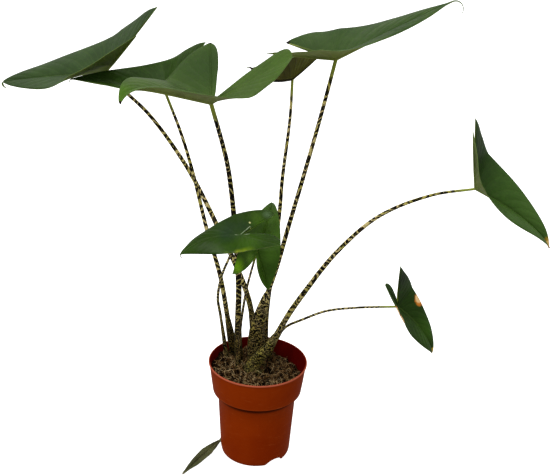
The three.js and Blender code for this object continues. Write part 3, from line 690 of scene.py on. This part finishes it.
def bladeMaterials(name, look):
    def surface(kind, body, deep, veinColour, rough, ridge):
        net = Net(name + kind)
        here = net.place()
        run, vein = net.attribute("leafRun"), net.attribute("leafVein")
        rib, edge = net.attribute("leafRib"), net.attribute("leafEdge")
        cloud = net.noise(here, 22.0, 4.0, 0.6)
        mottle = net.noise(here, 160.0, 4.0, 0.65)
        fine = net.noise(here, 700.0, 3.0, 0.6)
        pores = net.cells(here, 900.0)
        fromVein = ((vein + 0.5).fraction() - 0.5).absolute()
        inField = edge.step(1.0, 5.0) * rib.step(0.6, 1.6)
        sideVein = fromVein.step(0.05, 0.015) * inField
        between = ((vein * 3.0 + mottle * 0.5).fraction() - 0.5).absolute().step(0.1, 0.0) * inField
        taper = run.step(0.0, 0.5) * run.step(2.0, 1.5)
        midrib = (rib - taper * look["ribWide"]).step(0.75, 0.15)
        colour = net.blend(cloud.step(0.3, 0.7), body, deep)
        colour = net.blend(mottle.step(0.35, 0.75) * 0.45, colour, deep)
        colour = net.blend(fine.step(0.55, 0.8) * 0.18, colour, veinColour)
        colour = net.blend(between * (0.1 * look["veins"]), colour, veinColour)
        colour = net.blend(sideVein * (ridge["veinShow"] * look["veins"]), colour, veinColour)
        colour = net.blend(midrib * (ridge["ribShow"] * look["veins"]), colour, veinColour)
        colour = net.blend(edge.step(look["rim"] + 0.5, look["rim"]) * 0.3, colour, look["margin"])
        for centre, radius, tint, strength in look["washes"]:
            colour = net.blend(net.wash(centre, radius) * (strength * (0.75 + mottle * 0.5)), colour, tint)
        for centre, radius, tint in look["spots"]:
            colour = net.blend(net.spot(centre, radius), colour, tint)
        for start, end in look["scratches"] if kind == "Top" else ():
            line = net.scratch(start, end, 0.0007) * fine.step(0.3, 0.5) * 0.8
            colour = net.blend(line, colour, look["scar"])
        roughness = rough + (mottle - 0.5) * 0.14 + midrib * 0.12
        out = ridge["out"] * look["veins"]
        height = (fromVein.step(0.0, 0.2) * inField * -out + between * (0.25 * out)
                  + mottle * 0.5 + fine * 0.18 + pores * 0.12)
        return net.finish({
            "Base Color": colour, "Roughness": roughness, "Normal": net.bump(height, 0.00045, 0.55),
            "Subsurface Weight": look["glow"], "Subsurface Radius": (0.35, 0.8, 0.15),
            "Subsurface Scale": 0.003, "Specular IOR Level": 0.15})

    # The top has sunk veins and the underside raised ones, and the margin lies between them
    top = surface("Top", look["top"], look["deep"], look["vein"], look["roughness"],
                  {"veinShow": 0.1, "ribShow": 0.32, "out": -0.6})
    # The underside's colours carry painted bounce light from below.
    under = surface("Under", look["under"], look["underDeepWithBounce"], look["underVeinWithBounce"], look["roughness"] + 0.16,
                    {"veinShow": 0.4, "ribShow": 0.8, "out": 0.8})
    net = Net(name + "Margin")
    here = net.place()
    patchy = net.noise(here, 260.0, 4.0, 0.6)
    colour = net.blend(patchy.step(0.35, 0.7), look["margin"], look["vein"])
    for centre, radius, tint in look["spots"]:
        colour = net.blend(net.spot(centre, radius), colour, tint)
    margin = net.finish({
        "Base Color": colour, "Roughness": 0.45 + patchy * 0.1, "Normal": net.bump(patchy, 0.0002, 0.5),
        "Subsurface Weight": look["glow"], "Subsurface Scale": 0.003})
    return [top, under, margin]


# Places on the sheets: half, run, out, and whether on the inner part; then the radius in mm, and the colour
blemishes = {  # burnt, yellow, black and cream, with ragged edges
    "leaf_1": ((1, 2.0, 0.0, False, 3, paint(84, 96, 62)),),
    "leaf_3": ((1, -0.6, 0.0, False, 3.2, paint(40, 34, 18)), (-1, 2.0, 0.0, False, 3.4, paint(34, 40, 18))),
    "leaf_4": ((1, -0.1, 0.0, False, 5, paint(46, 48, 24)),),
    "leaf_5": ((1, 2.0, 0.0, False, 7, paint(30, 24, 14)),),
    "leaf_6": ((1, 0.0, 0.0, False, 16, paint(168, 140, 44)), (1, 0.0, 0.3, False, 10, paint(222, 194, 134)),
               (-1, -0.5, 0.5, False, 2.4, paint(120, 60, 22))),
    "leaf_7": ((1, 0.8, 1.0, False, 11, paint(204, 128, 44)),
               (1, 0.82, 0.98, False, 7.5, paint(240, 204, 150)),
               (-1, 1.4, 1.0, False, 8, paint(206, 130, 54)), (-1, 1.16, 1.0, False, 8, paint(206, 130, 54)),
               (-1, 1.38, 0.98, False, 6.8, paint(240, 206, 158)),
               (-1, 1.16, 0.98, False, 6.8, paint(240, 206, 158)),
               (1, 0.0, 0.0, False, 9, paint(190, 160, 44))),
    "leaf_8": ((-1, 1.35, 0.3, False, 1.6, paint(206, 206, 150)),
               (-1, 1.32, 1.0, True, 1.2, paint(170, 176, 110)),
               (1, -0.8, 0.0, False, 2.5, paint(60, 52, 26))),
}
washes = {  # softly lighter, darker or yellower, with a strength
    "leaf_3": ((-1, 1.6, 0.45, False, 78, paint(48, 70, 28), 0.75),
               (-1, 1.5, 0.5, True, 60, paint(50, 72, 30), 0.5),
               (1, 0.0, 0.6, False, 30, paint(80, 116, 16), 0.7),
               (-1, 0.1, 0.7, False, 24, paint(70, 104, 14), 0.6),
               (1, 1.9, 0.6, False, 34, paint(84, 112, 44), 0.5),
               (1, 1.4, 0.5, False, 30, paint(70, 92, 40), 0.5)),
    "leaf_5": ((1, 1.6, 1.0, True, 44, paint(56, 76, 34), 0.85),),
    "leaf_6": ((1, 1.4, 0.5, False, 64, paint(32, 54, 12), 0.85),
               (1, 0.3, 0.5, False, 60, paint(80, 108, 50), 0.75)),
    "leaf_7": ((1, 0.35, 0.4, False, 34, paint(68, 102, 26), 0.7),
               (-1, 1.9, 0.0, False, 12, paint(66, 98, 40), 0.5),
               (1, 1.65, 0.4, False, 28, paint(26, 44, 4), 0.8)),
    "leaf_8": ((1, 0.45, 0.6, False, 24, paint(42, 66, 10), 0.65),
               (-1, 1.5, 0.6, False, 13, paint(80, 108, 40), 0.6),
               # These three darker grey-blue patches are a painted reflection of the sky on the glossy half.
               (-1, 0.8, 0.35, False, 27, paint(50, 68, 50), 0.65),
               (-1, 1.2, 0.25, False, 15, paint(42, 64, 44), 0.5),
               (1, 0.7, 0.1, False, 15, paint(44, 68, 44), 0.55),
               # A painted highlight.
               (-1, 1.775, 0.5, False, 10, paint(104, 128, 92), 0.6),
               (-1, 1.525, 0.9, True, 15, paint(76, 110, 18), 0.7),
               (1, 1.3, 0.45, False, 22, paint(70, 104, 18), 0.5),
               (1, 1.33, 1.0, False, 10, paint(112, 138, 26), 0.55),  # the front margin yellows
               (1, 1.15, 1.0, False, 8, paint(132, 150, 26), 0.7),
               (1, 0.98, 1.0, False, 7, paint(146, 158, 30), 0.75),
               (1, 0.82, 1.0, False, 5, paint(104, 132, 24), 0.5)),
    "leaf_9": ((-1, 1.2, 0.5, False, 16, paint(98, 136, 50), 0.6),
               (1, 1.75, 0.4, False, 16, paint(130, 180, 16), 0.9),
               (1, 1.35, 0.1, True, 12, paint(120, 158, 64), 0.6),
               (-1, 1.15, 0.9, True, 12, paint(112, 152, 60), 0.5)),
}
scratches = {  # thin pale lines between two places
    "leaf_8": (((-1, 1.03, 0.0, False), (-1, 1.35, 0.1, False)),
               ((1, 0.86, 0.02, False), (1, 1.15, 0.45, True))),
}


def makeBlade(name, leaf, seed):
    look = {**bladeLooks["common"], **bladeLooks[name]}

    def at(side, run, out, inner):
        curves = halfCurves(leaf, side)
        curves["seed"] = seed  # its own waves, near enough to the sheet's for a mark's place
        return tuple((sheetPoint(curves, side, run, out, inner)[0] + Vector(leaf["junction"])) * mm)

    look["spots"] = [(at(*mark[:4]), mark[4] * mm, mark[5]) for mark in blemishes.get(name, ())]
    look["washes"] = [(at(*mark[:4]), mark[4] * mm, *mark[5:]) for mark in washes.get(name, ())]
    look["scratches"] = [(at(*start), at(*end)) for start, end in scratches.get(name, ())]
    sheet = makeSheet(leaf, seed)
    blade = newObject(name + "Blade", meshFrom(name + "Blade", sheet), bladeMaterials(name, look))
    blade.vertex_groups.new(name="ribs")
    thick = blade.modifiers.new("thickness", "SOLIDIFY")
    thick.thickness, thick.offset = bladeShape["thickness"] * mm, -1
    thick.vertex_group, thick.thickness_vertex_group = "ribs", bladeShape["thinShare"]
    thick.material_offset, thick.material_offset_rim = 1, 2
    bake(blade).shade_smooth()
    register(blade, "withered" if name == "leaf_10" else "blade", name + "_blade")


for number, (name, leaf) in enumerate(leaves.items()):
    makeBlade(name, leaf, number)
print("blades grown")


# Stalks: each tapers from its sheath at the soil to the blade, with dark bands that get wider as they go up

stalkShape = {
    "sides": 24, "stepLength": 1.6, "rootDepth": 26, "rootLean": 0.86, "sheathCurve": 0.6,
    "lumps": 0.04, "pitchLow": 6.0, "pitchHigh": 11.5, "pitchReach": 330, "endDrop": 0.5,
}


class Path:  # a centripetal curve through points, measured by length
    def __init__(self, points):
        ends = [points[0] * 2 - points[1], *points, points[-1] * 2 - points[-2]]
        self.points = [points[0].copy()]
        for i in range(len(points) - 1):
            for k in range(1, 41):
                self.points.append(self.between(ends[i:i + 4], k / 40))
        self.far = [0.0]
        for a, b in zip(self.points, self.points[1:]):
            self.far.append(self.far[-1] + (b - a).length)
        self.length = self.far[-1]

    def between(self, four, t):
        a, b, c, d = four
        first, second, third = (max((q - p).length, 1e-6) ** 0.5 for p, q in ((a, b), (b, c), (c, d)))
        start = ((b - a) / first - (c - a) / (first + second) + (c - b) / second) * second
        end = ((c - b) / second - (d - b) / (second + third) + (d - c) / third) * second
        return (b + start * t + (b * -3 + c * 3 - start * 2 - end) * (t * t)
                + (b * 2 - c * 2 + start + end) * (t * t * t))

    def at(self, share):
        wanted = min(max(share, 0.0), 1.0) * self.length
        i = min(max(bisect.bisect_left(self.far, wanted) - 1, 0), len(self.points) - 2)
        step = self.far[i + 1] - self.far[i]
        return self.points[i].lerp(self.points[i + 1], (wanted - self.far[i]) / step if step else 0)

    def tangent(self, share):
        return (self.at(share + 0.004) - self.at(share - 0.004)).normalized()


def stalkPath(leaf):
    line = [Vector(point) for point in leaf["stalk"]]
    lean = stalkShape["rootLean"]
    foot = Vector((line[0].x * lean, line[0].y * lean, line[0].z - stalkShape["rootDepth"]))
    end = Vector(leaf["junction"])
    end = end.lerp(line[-1], leaf.get("short", 0) / (end - line[-1]).length)
    return Path([foot, *line, end])


stalkLooks = {
    "common": {
        "pale": paint(172, 164, 84), "cream": paint(220, 204, 150), "dark": paint(9, 6, 2),
        "neck": paint(150, 160, 70), "olive": paint(170, 146, 90),
        "darkShare": 0.7, "lowDark": 0.4, "maze": 1.0, "neckLength": 24,
    },
    "leaf_2": {"maze": 0.6},
    "leaf_3": {"darkShare": 0.8, "lowDark": 0.2, "maze": 0.35},
    "leaf_5": {"darkShare": 0.72, "lowDark": 0.36},
    "leaf_6": {"darkShare": 0.66, "lowDark": 0.34, "olive": paint(158, 146, 80)},
    "leaf_9": {"pale": paint(140, 118, 72), "darkShare": 0.8},
}


def stalkMaterial(name, look):
    net = Net(name + "Stalk")
    zebra = net.attribute("zebra", "Vector")
    height, toBlade = net.attribute("stalkHeight"), net.attribute("stalkLeft")
    here = net.place()
    phase = net.node("SeparateXYZ", {}, {0: zebra}, output="Z")
    low = height.step(150.0, 10.0)
    sway = net.noise(net.mapped(zebra, (0.9, 0.9, 0.7)), 1.0, 1.0, 0.4)
    zigzag = net.noise(net.mapped(zebra, (2.6, 2.6, 1.6)), 1.0, 2.0, 0.5)
    ragged = net.noise(net.mapped(zebra, (9.0, 9.0, 3.4)), 1.0, 3.0, 0.65)
    warped = phase + (sway - 0.5) * (2.6 + 2.2 * low) + (zigzag - 0.5) * 0.9
    swing = (warped * (2 * math.pi)).sine() * 0.5 + 0.5
    patchy = net.noise(net.mapped(zebra, (0.9, 0.9, 0.5), (5, 3, 9)), 1.0, 3.0, 0.55)
    level = swing + (ragged - 0.5) * 0.5 + (patchy - 0.5) * (0.9 - low * 0.45)
    cut = 1.0 - look["darkShare"] - low * look["lowDark"]
    band = (level - cut).step(-0.035, 0.035)
    squiggle = net.noise(net.mapped(zebra, (1.7, 1.7, 2.4), (2, 8, 1)), 1.0, 2.0, 0.5)
    squiggle = (squiggle - 0.5).absolute().step(0.052, 0.022)
    fleck = net.noise(here, 900.0, 3.0, 0.6)
    band = band * (1.0 - squiggle * (low * 0.6 + 0.15) * look["maze"])
    band = band * toBlade.step(look["neckLength"] * 0.55, look["neckLength"] * 1.25)
    pale = net.blend(patchy.step(0.35, 0.65), look["pale"], look["cream"])
    pale = net.blend(low * 0.7, pale, look["olive"])
    pale = net.blend(toBlade.step(look["neckLength"] * 1.6, look["neckLength"] * 0.6), pale, look["neck"])
    pale = net.blend(fleck.step(0.55, 0.75) * 0.25, pale, look["olive"])
    colour = net.blend(band, pale, look["dark"])
    roughness = 0.42 + (ragged - 0.5) * 0.2
    grain = net.noise(net.mapped(zebra, (14.0, 14.0, 0.8)), 1.0, 3.0, 0.6)
    normal = net.bump(grain * 0.7 + fleck * 0.3 + band * 0.15, 0.0004, 0.6)
    return net.finish({
        "Base Color": colour, "Roughness": roughness, "Normal": normal, "Specular IOR Level": 0.1,
        "Subsurface Weight": 0.05, "Subsurface Scale": 0.002})


def witheredStalkMaterial(look):
    net = Net("witheredStalk")
    zebra = net.attribute("zebra", "Vector")
    here = net.place()
    cloud = net.noise(here, 40.0, 4.0, 0.6)
    streak = net.noise(net.mapped(zebra, (5.0, 5.0, 0.35)), 1.0, 4.0, 0.6)
    colour = net.blend(cloud.step(0.3, 0.7), look["top"], look["deep"])
    colour = net.blend(streak.step(0.5, 0.75) * 0.7, colour, look["vein"])
    return net.finish({"Base Color": colour, "Roughness": 0.6 + streak * 0.2, "Specular IOR Level": 0.15,
                       "Normal": net.bump(streak, 0.0008, 0.8)})


def makeStalk(name, leaf, seed):
    shape = stalkShape
    path, up = stalkPath(leaf), leafFrame(leaf)[2]
    junction, soilAt = Vector(leaf["junction"]), leaf["stalk"][0][2]
    rings = int(path.length / shape["stepLength"])
    phases, rows = [0.0], []
    for i in range(rings + 1):
        share = i / rings
        centre, tangent = path.at(share), path.tangent(share)
        height = centre.z - soilAt
        wide = (Vector((1, 0, 0)) - tangent * tangent.x).normalized()
        grow = min(max(height / shape["pitchReach"], 0), 1)
        pitch = shape["pitchLow"] + (shape["pitchHigh"] - shape["pitchLow"]) * grow ** 0.8
        phases.append(phases[-1] + path.length / rings / pitch)
        sheath = min(max(1 - height / leaf["reach"], 0), 1) ** shape["sheathCurve"]
        low, high = leaf["radius"]
        radius = low + (high - low) * share
        rows.append((centre, wide, tangent.cross(wide), [radius + extra * sheath for extra in leaf["sheath"]],
                     height, pitch, phases[-1], (1 - share) * path.length))
    tube = bmesh.new()
    zebraLayer = tube.verts.layers.float_vector.new("zebra")
    heightLayer, leftLayer = (tube.verts.layers.float.new(key) for key in ("stalkHeight", "stalkLeft"))
    made = bmesh.ops.create_grid(tube, x_segments=shape["sides"], y_segments=rings, size=0.5)["verts"]
    for vert in made:
        turn = (vert.co.x + 0.5) * 2 * math.pi
        centre, wide, deep, size, height, pitch, phase, left = rows[round((vert.co.y + 0.5) * rings)]
        across, depth = math.cos(turn), math.sin(turn)
        lump = 1 + shape["lumps"] * noise.noise(Vector((across, depth, phase * 0.6 + seed * 9)))
        place = centre + wide * (across * size[0] * lump) + deep * (depth * size[1] * lump)
        over = (place - junction).dot(up) + shape["endDrop"]
        if left < 12 and over > 0:  # the end stays under the blade's upper face
            place -= up * over
        grain = min(pitch, 2.2 * size[1])
        vert[zebraLayer] = (across * size[0] / grain, depth * size[1] / grain, phase + seed * 3.7)
        vert[heightLayer], vert[leftLayer] = height, left
        vert.co = place * mm
    weld(tube)
    bmesh.ops.holes_fill(tube, edges=tube.edges, sides=0)
    bmesh.ops.recalc_face_normals(tube, faces=tube.faces)
    withered = name == "leaf_10"
    material = (witheredStalkMaterial(bladeLooks[name]) if withered
                else stalkMaterial(name, {**stalkLooks["common"], **stalkLooks.get(name, {})}))
    stalk = newObject(name + "Stalk", meshFrom(name + "Stalk", tube), [material])
    smoothShade(stalk.data, 50)
    register(stalk, "withered" if withered else "stalk", name + "_stalk")


for number, (name, leaf) in enumerate(leaves.items()):
    makeStalk(name, leaf, number)
print("stalks grown")


# Soil: a filled, lumpy surface with crumbs, fibres and a little moss lying on it

soilShape = {
    "level": 129, "fall": -0.125, "lump": 2.2,
    "moundX": -12, "moundY": 26, "moundHeight": 4, "moundRadius": 30,
    "radius": 66, "edge": 6,  # the outermost millimetres are drawn out to the wall
    "gap": 0.3, "rings": 96, "sides": 260, "grain": 2.3, "sunk": 0.8,
    "pits": ((18, 10, 8, 9), (12, 5, 6, 7), (-14.9, -4.8, 5, 7),
             (-52, 18, 5, 4), (38, -22, 6, 3)),  # x, y, radius and depth
}
bits = {  # what lies on the soil; pairs are the least and the most
    "seed": 11, "reach": 62, "limit": 64.5,
    "fibres": 2200, "length": (5, 11), "longer": 20, "thick": (0.11, 0.34), "bend": 0.9, "arch": (-0.5, 2.6),
    "rest": (-0.2, 1.5), "segments": 7, "sides": 4, "crumbs": 420, "crumbSize": (0.5, 2.6),
    "moss": 220, "mossSize": (0.5, 1.6), "mossX": -6, "mossY": 2, "mossSpread": 10,
}
soilColours = {
    "dark": paint(9, 5, 2), "mid": paint(48, 32, 19), "light": paint(108, 82, 54),
    "fibreDark": paint(86, 60, 32), "fibreMid": paint(162, 130, 84), "fibreLight": paint(236, 214, 170),
    "moss": paint(108, 116, 58), "mossDark": paint(66, 72, 38),
}


def soilHeight(x, y):
    s = soilShape
    lumps = math.sin(x * 0.21 + 1.3) * math.cos(y * 0.17 - 0.6) + 0.6 * math.sin(x * 0.43 - y * 0.37)
    away = math.hypot(x - s["moundX"], y - s["moundY"]) / s["moundRadius"]
    return s["level"] + s["fall"] * x + s["moundHeight"] * math.exp(-away ** 2) + s["lump"] * lumps


def groundAt(x, y):  # the soil's surface with its grain and the pits beside the stalks
    s = soilShape
    coarse = noise.noise(Vector((x * 0.16, y * 0.16, 4))) + 0.6 * noise.noise(Vector((x * 0.4, y * 0.4, 9)))
    grain = coarse + 0.45 * noise.noise(Vector((x * 1.1, y * 1.1, 2)))
    pits = sum(deep * math.exp(-((x - px) ** 2 + (y - py) ** 2) / wide ** 2)
               for px, py, wide, deep in s["pits"])
    return soilHeight(x, y) + s["grain"] * grain - s["sunk"] - pits


def soilMaterial(c):
    net = Net("soil")
    here = net.place()
    clods = net.cells(here, 260.0)
    cloud = net.noise(here, 60.0, 5.0, 0.65)
    fine = net.noise(here, 520.0, 5.0, 0.7)
    streak = net.noise(net.mapped(here, (1, 0.35, 1)), 480.0, 4.0, 0.65, 1.5)
    colour = net.blend(fine.step(0.35, 0.65), c["dark"], c["mid"])
    colour = net.blend(cloud.step(0.42, 0.62) * 0.8, colour, c["dark"])
    colour = net.blend(streak.step(0.6, 0.72) * 0.75, colour, c["light"])
    # The pits are painted dark towards their middles: painted shade in the hollows.
    for x, y, wide, deep in soilShape["pits"]:
        pitShade = net.wash((x * mm, y * mm, (soilHeight(x, y) - deep) * mm), wide * 1.25 * mm)
        colour = net.blend(pitShade.step(0.15, 0.7) * 0.9, colour, c["dark"])
    height = clods * 0.6 + fine * 0.7 + streak * 0.3
    return net.finish({"Base Color": colour, "Roughness": 0.88 + (fine - 0.5) * 0.2,
                       "Specular IOR Level": 0.04, "Normal": net.bump(height, 0.0018, 0.9)})


def bitMaterial(name, stops, roughness):
    net = Net(name)
    tone = net.attribute("tone")
    mottle = net.noise(net.place(), 700.0, 4.0, 0.6)
    colour = net.ramp(tone + (mottle - 0.5) * 0.35, stops)
    return net.finish({"Base Color": colour, "Roughness": roughness + (mottle - 0.5) * 0.2,
                       "Specular IOR Level": 0.06, "Normal": net.bump(mottle, 0.0006, 0.7)})


def makeSoil(s):
    rings, flat = s["rings"], s["level"] + 1  # the top starts flat, and groundAt then gives its height
    shoulder = potShape["collarBottom"] - potShape["shoulderDrop"] + potShape["wall"]
    low = potShape["collarBottom"] + potShape["wall"]
    wall = potShape["wall"] + s["gap"]
    line = [(s["radius"] * i / rings, flat) for i in range(rings + 1)] + [
        (collarRadius(low) - wall, low),
        (bodyRadius(shoulder - potShape["wall"]) - wall, shoulder + s["gap"]),
        (bodyRadius(potShape["bodyLow"]) - wall, potShape["bodyLow"] + s["gap"]),
        (potShape["footRadius"] - 1, potShape["floorTop"] + s["gap"]), (0, potShape["floorTop"] + s["gap"])]
    ground = turnRound(line, s["sides"], 0.01)
    for vert in ground.verts:
        if abs(vert.co.z - flat * mm) < 1e-6:
            x, y = vert.co.x / mm, vert.co.y / mm
            z = groundAt(x, y)
            outward = max(0, (math.hypot(x, y) - s["radius"]) / s["edge"] + 1)  # 1 at the wall
            reach = 1 + ((collarRadius(z) - wall) / s["radius"] - 1) * outward
            vert.co = Vector((x * reach, y * reach, z)) * mm
    soil = newObject("soilBed", meshFrom("soilBed", ground), [soilMaterial(soilColours)])
    smoothShade(cutNotches(soil, potShape), 60)
    register(soil, "soil", "soil")


def scatterPlace(dice):
    radius, turn = bits["reach"] * math.sqrt(dice.random()), dice.uniform(0, 2 * math.pi)
    return radius * math.cos(turn), radius * math.sin(turn)


def insidePot(x, y, size=0):
    radius, limit = math.hypot(x, y), bits["limit"] - size
    return (x, y) if radius <= limit else (x * limit / radius, y * limit / radius)


def layOnSoil(name, shape, stops, roughness):
    piece = newObject(name, meshFrom(name, shape), [bitMaterial(name, stops, roughness)])
    piece.data.shade_smooth()
    register(piece, "soil")


def makeFibres(s, c):
    dice = random.Random(s["seed"])
    strands = bmesh.new()
    tones = strands.verts.layers.float.new("tone")
    for _ in range(s["fibres"]):
        x, y = scatterPlace(dice)
        turn = dice.uniform(0, 2 * math.pi)
        length = dice.uniform(*s["length"]) + s["longer"] * dice.random() ** 3
        thick, tone, bend = dice.uniform(*s["thick"]), dice.random(), dice.uniform(-s["bend"], s["bend"])
        arch, rest = dice.uniform(*s["arch"]) * length / 20, dice.uniform(*s["rest"])
        if any(math.hypot(x - px, y - py) < wide * 0.8 for px, py, wide, _ in soilShape["pits"]):
            continue
        made = bmesh.ops.create_grid(strands, x_segments=s["segments"], y_segments=s["sides"], size=0.5)
        for vert in made["verts"]:
            u, around = vert.co.x + 0.5, (vert.co.y + 0.5) * 2 * math.pi
            heading = turn + bend * (u - 0.5) * 2
            px = x + math.cos(heading) * length * (u - 0.5)
            py = y + math.sin(heading) * length * (u - 0.5)
            px, py = insidePot(px, py)
            pz = groundAt(px, py) + rest + arch * math.sin(math.pi * u)
            radius = thick * max(math.sin(math.pi * u), 0) ** 0.4
            side = Vector((-math.sin(heading), math.cos(heading), 0))
            vert.co = (Vector((px, py, pz)) + side * (radius * math.cos(around))
                       + Vector((0, 0, radius * math.sin(around)))) * mm
            vert[tones] = tone
    weld(strands, 0.004)
    stops = ((0.05, c["dark"]), (0.36, c["fibreDark"]), (0.7, c["fibreMid"]), (1.0, c["fibreLight"]))
    layOnSoil("soilFibres", strands, stops, 0.75)


def mossPlace(dice):
    spread = bits["mossSpread"]
    return bits["mossX"] + dice.gauss(0, spread), bits["mossY"] + dice.gauss(0, spread * 0.6)


def makeCrumbs(name, place, count, seed, sizes, stops):  # mostly near the smaller size
    dice = random.Random(seed)
    crumbs = bmesh.new()
    tones = crumbs.verts.layers.float.new("tone")
    for _ in range(count):
        x, y = place(dice)
        radius = sizes[0] + (sizes[1] - sizes[0]) * dice.random() ** 4
        x, y = insidePot(x, y, radius)
        centre = Vector((x, y, groundAt(x, y) + radius * 0.25))
        tone, squash = dice.random(), Vector([dice.uniform(0.6, 1.25) for _ in range(3)])
        made = bmesh.ops.create_icosphere(crumbs, subdivisions=2, radius=1.0)["verts"]
        for vert in made:
            rough = 1 + 0.9 * noise.noise(vert.co * 1.9 + centre)
            vert.co = (centre + vert.co * squash * (radius * rough)) * mm
            vert[tones] = tone
    layOnSoil(name, crumbs, stops, 0.85)


makeSoil(soilShape)
makeFibres(bits, soilColours)
crumbStops = ((0.0, soilColours["dark"]), (0.6, soilColours["mid"]), (1.0, soilColours["light"]))
mossStops = ((0.0, soilColours["mossDark"]), (1.0, soilColours["moss"]))
makeCrumbs("soilCrumbs", scatterPlace, bits["crumbs"], bits["seed"] + 1, bits["crumbSize"], crumbStops)
makeCrumbs("soilMoss", mossPlace, bits["moss"], bits["seed"] + 2, bits["mossSize"], mossStops)
print("soil laid")


# Studio: a pale floor under a soft white sky that is brightest overhead, and one wide lamp at the upper left

studio = {  # sizes and places in metres, and the lamp's power in watts
    "zenith": 1.3, "horizon": 0.5, "floorSize": 24, "floorGlow": 0.86,
    "floor": paint(190, 190, 190), "glow": paint(255, 255, 255),
    "key": 24, "keyAt": (-1.2, -1.3, 2.3), "keySize": 1.4, "keyAim": (0, 0, 0.35),
}


def makeLamp(name, place, aim, power, size):
    data = bpy.data.lights.new(name, "AREA")
    data.energy, data.size = power, size
    lamp = bpy.data.objects.new(name, data)
    scene.collection.objects.link(lamp)
    lamp.location = place
    lamp.rotation_euler = (Vector(aim) - Vector(place)).to_track_quat("-Z", "Y").to_euler()


def makeStudio(s):
    scene.world = bpy.data.worlds.new("studio")
    sky = Net("studio", scene.world)
    height = sky.node("SeparateXYZ", {}, {0: sky.node("TexCoord", output="Generated")}, output="Z")
    above = height.step(0.0, 1.0) * (s["zenith"] - s["horizon"])
    light = sky.node("Background", {}, {"Strength": above + s["horizon"]})
    sky.node("OutputWorld", {}, {"Surface": light})
    plane = bmesh.new()
    bmesh.ops.create_grid(plane, x_segments=1, y_segments=1, size=s["floorSize"] / 2)
    net = Net("paper")
    grain = net.noise(net.place(), 300.0, 3.0, 0.5)
    paper = net.finish({"Base Color": s["floor"], "Roughness": 0.9 + (grain - 0.5) * 0.1,
                        "Normal": net.bump(grain, 0.0001, 0.2),
                        "Emission Color": s["glow"], "Emission Strength": s["floorGlow"]})
    floor = newObject("floor", meshFrom("floor", plane), [paper])
    floor.visible_diffuse = floor.visible_glossy = False  # it doesn't light the plant from below
    makeLamp("keyLamp", s["keyAt"], s["keyAim"], s["key"], s["keySize"])


makeStudio(studio)
print("studio lit")
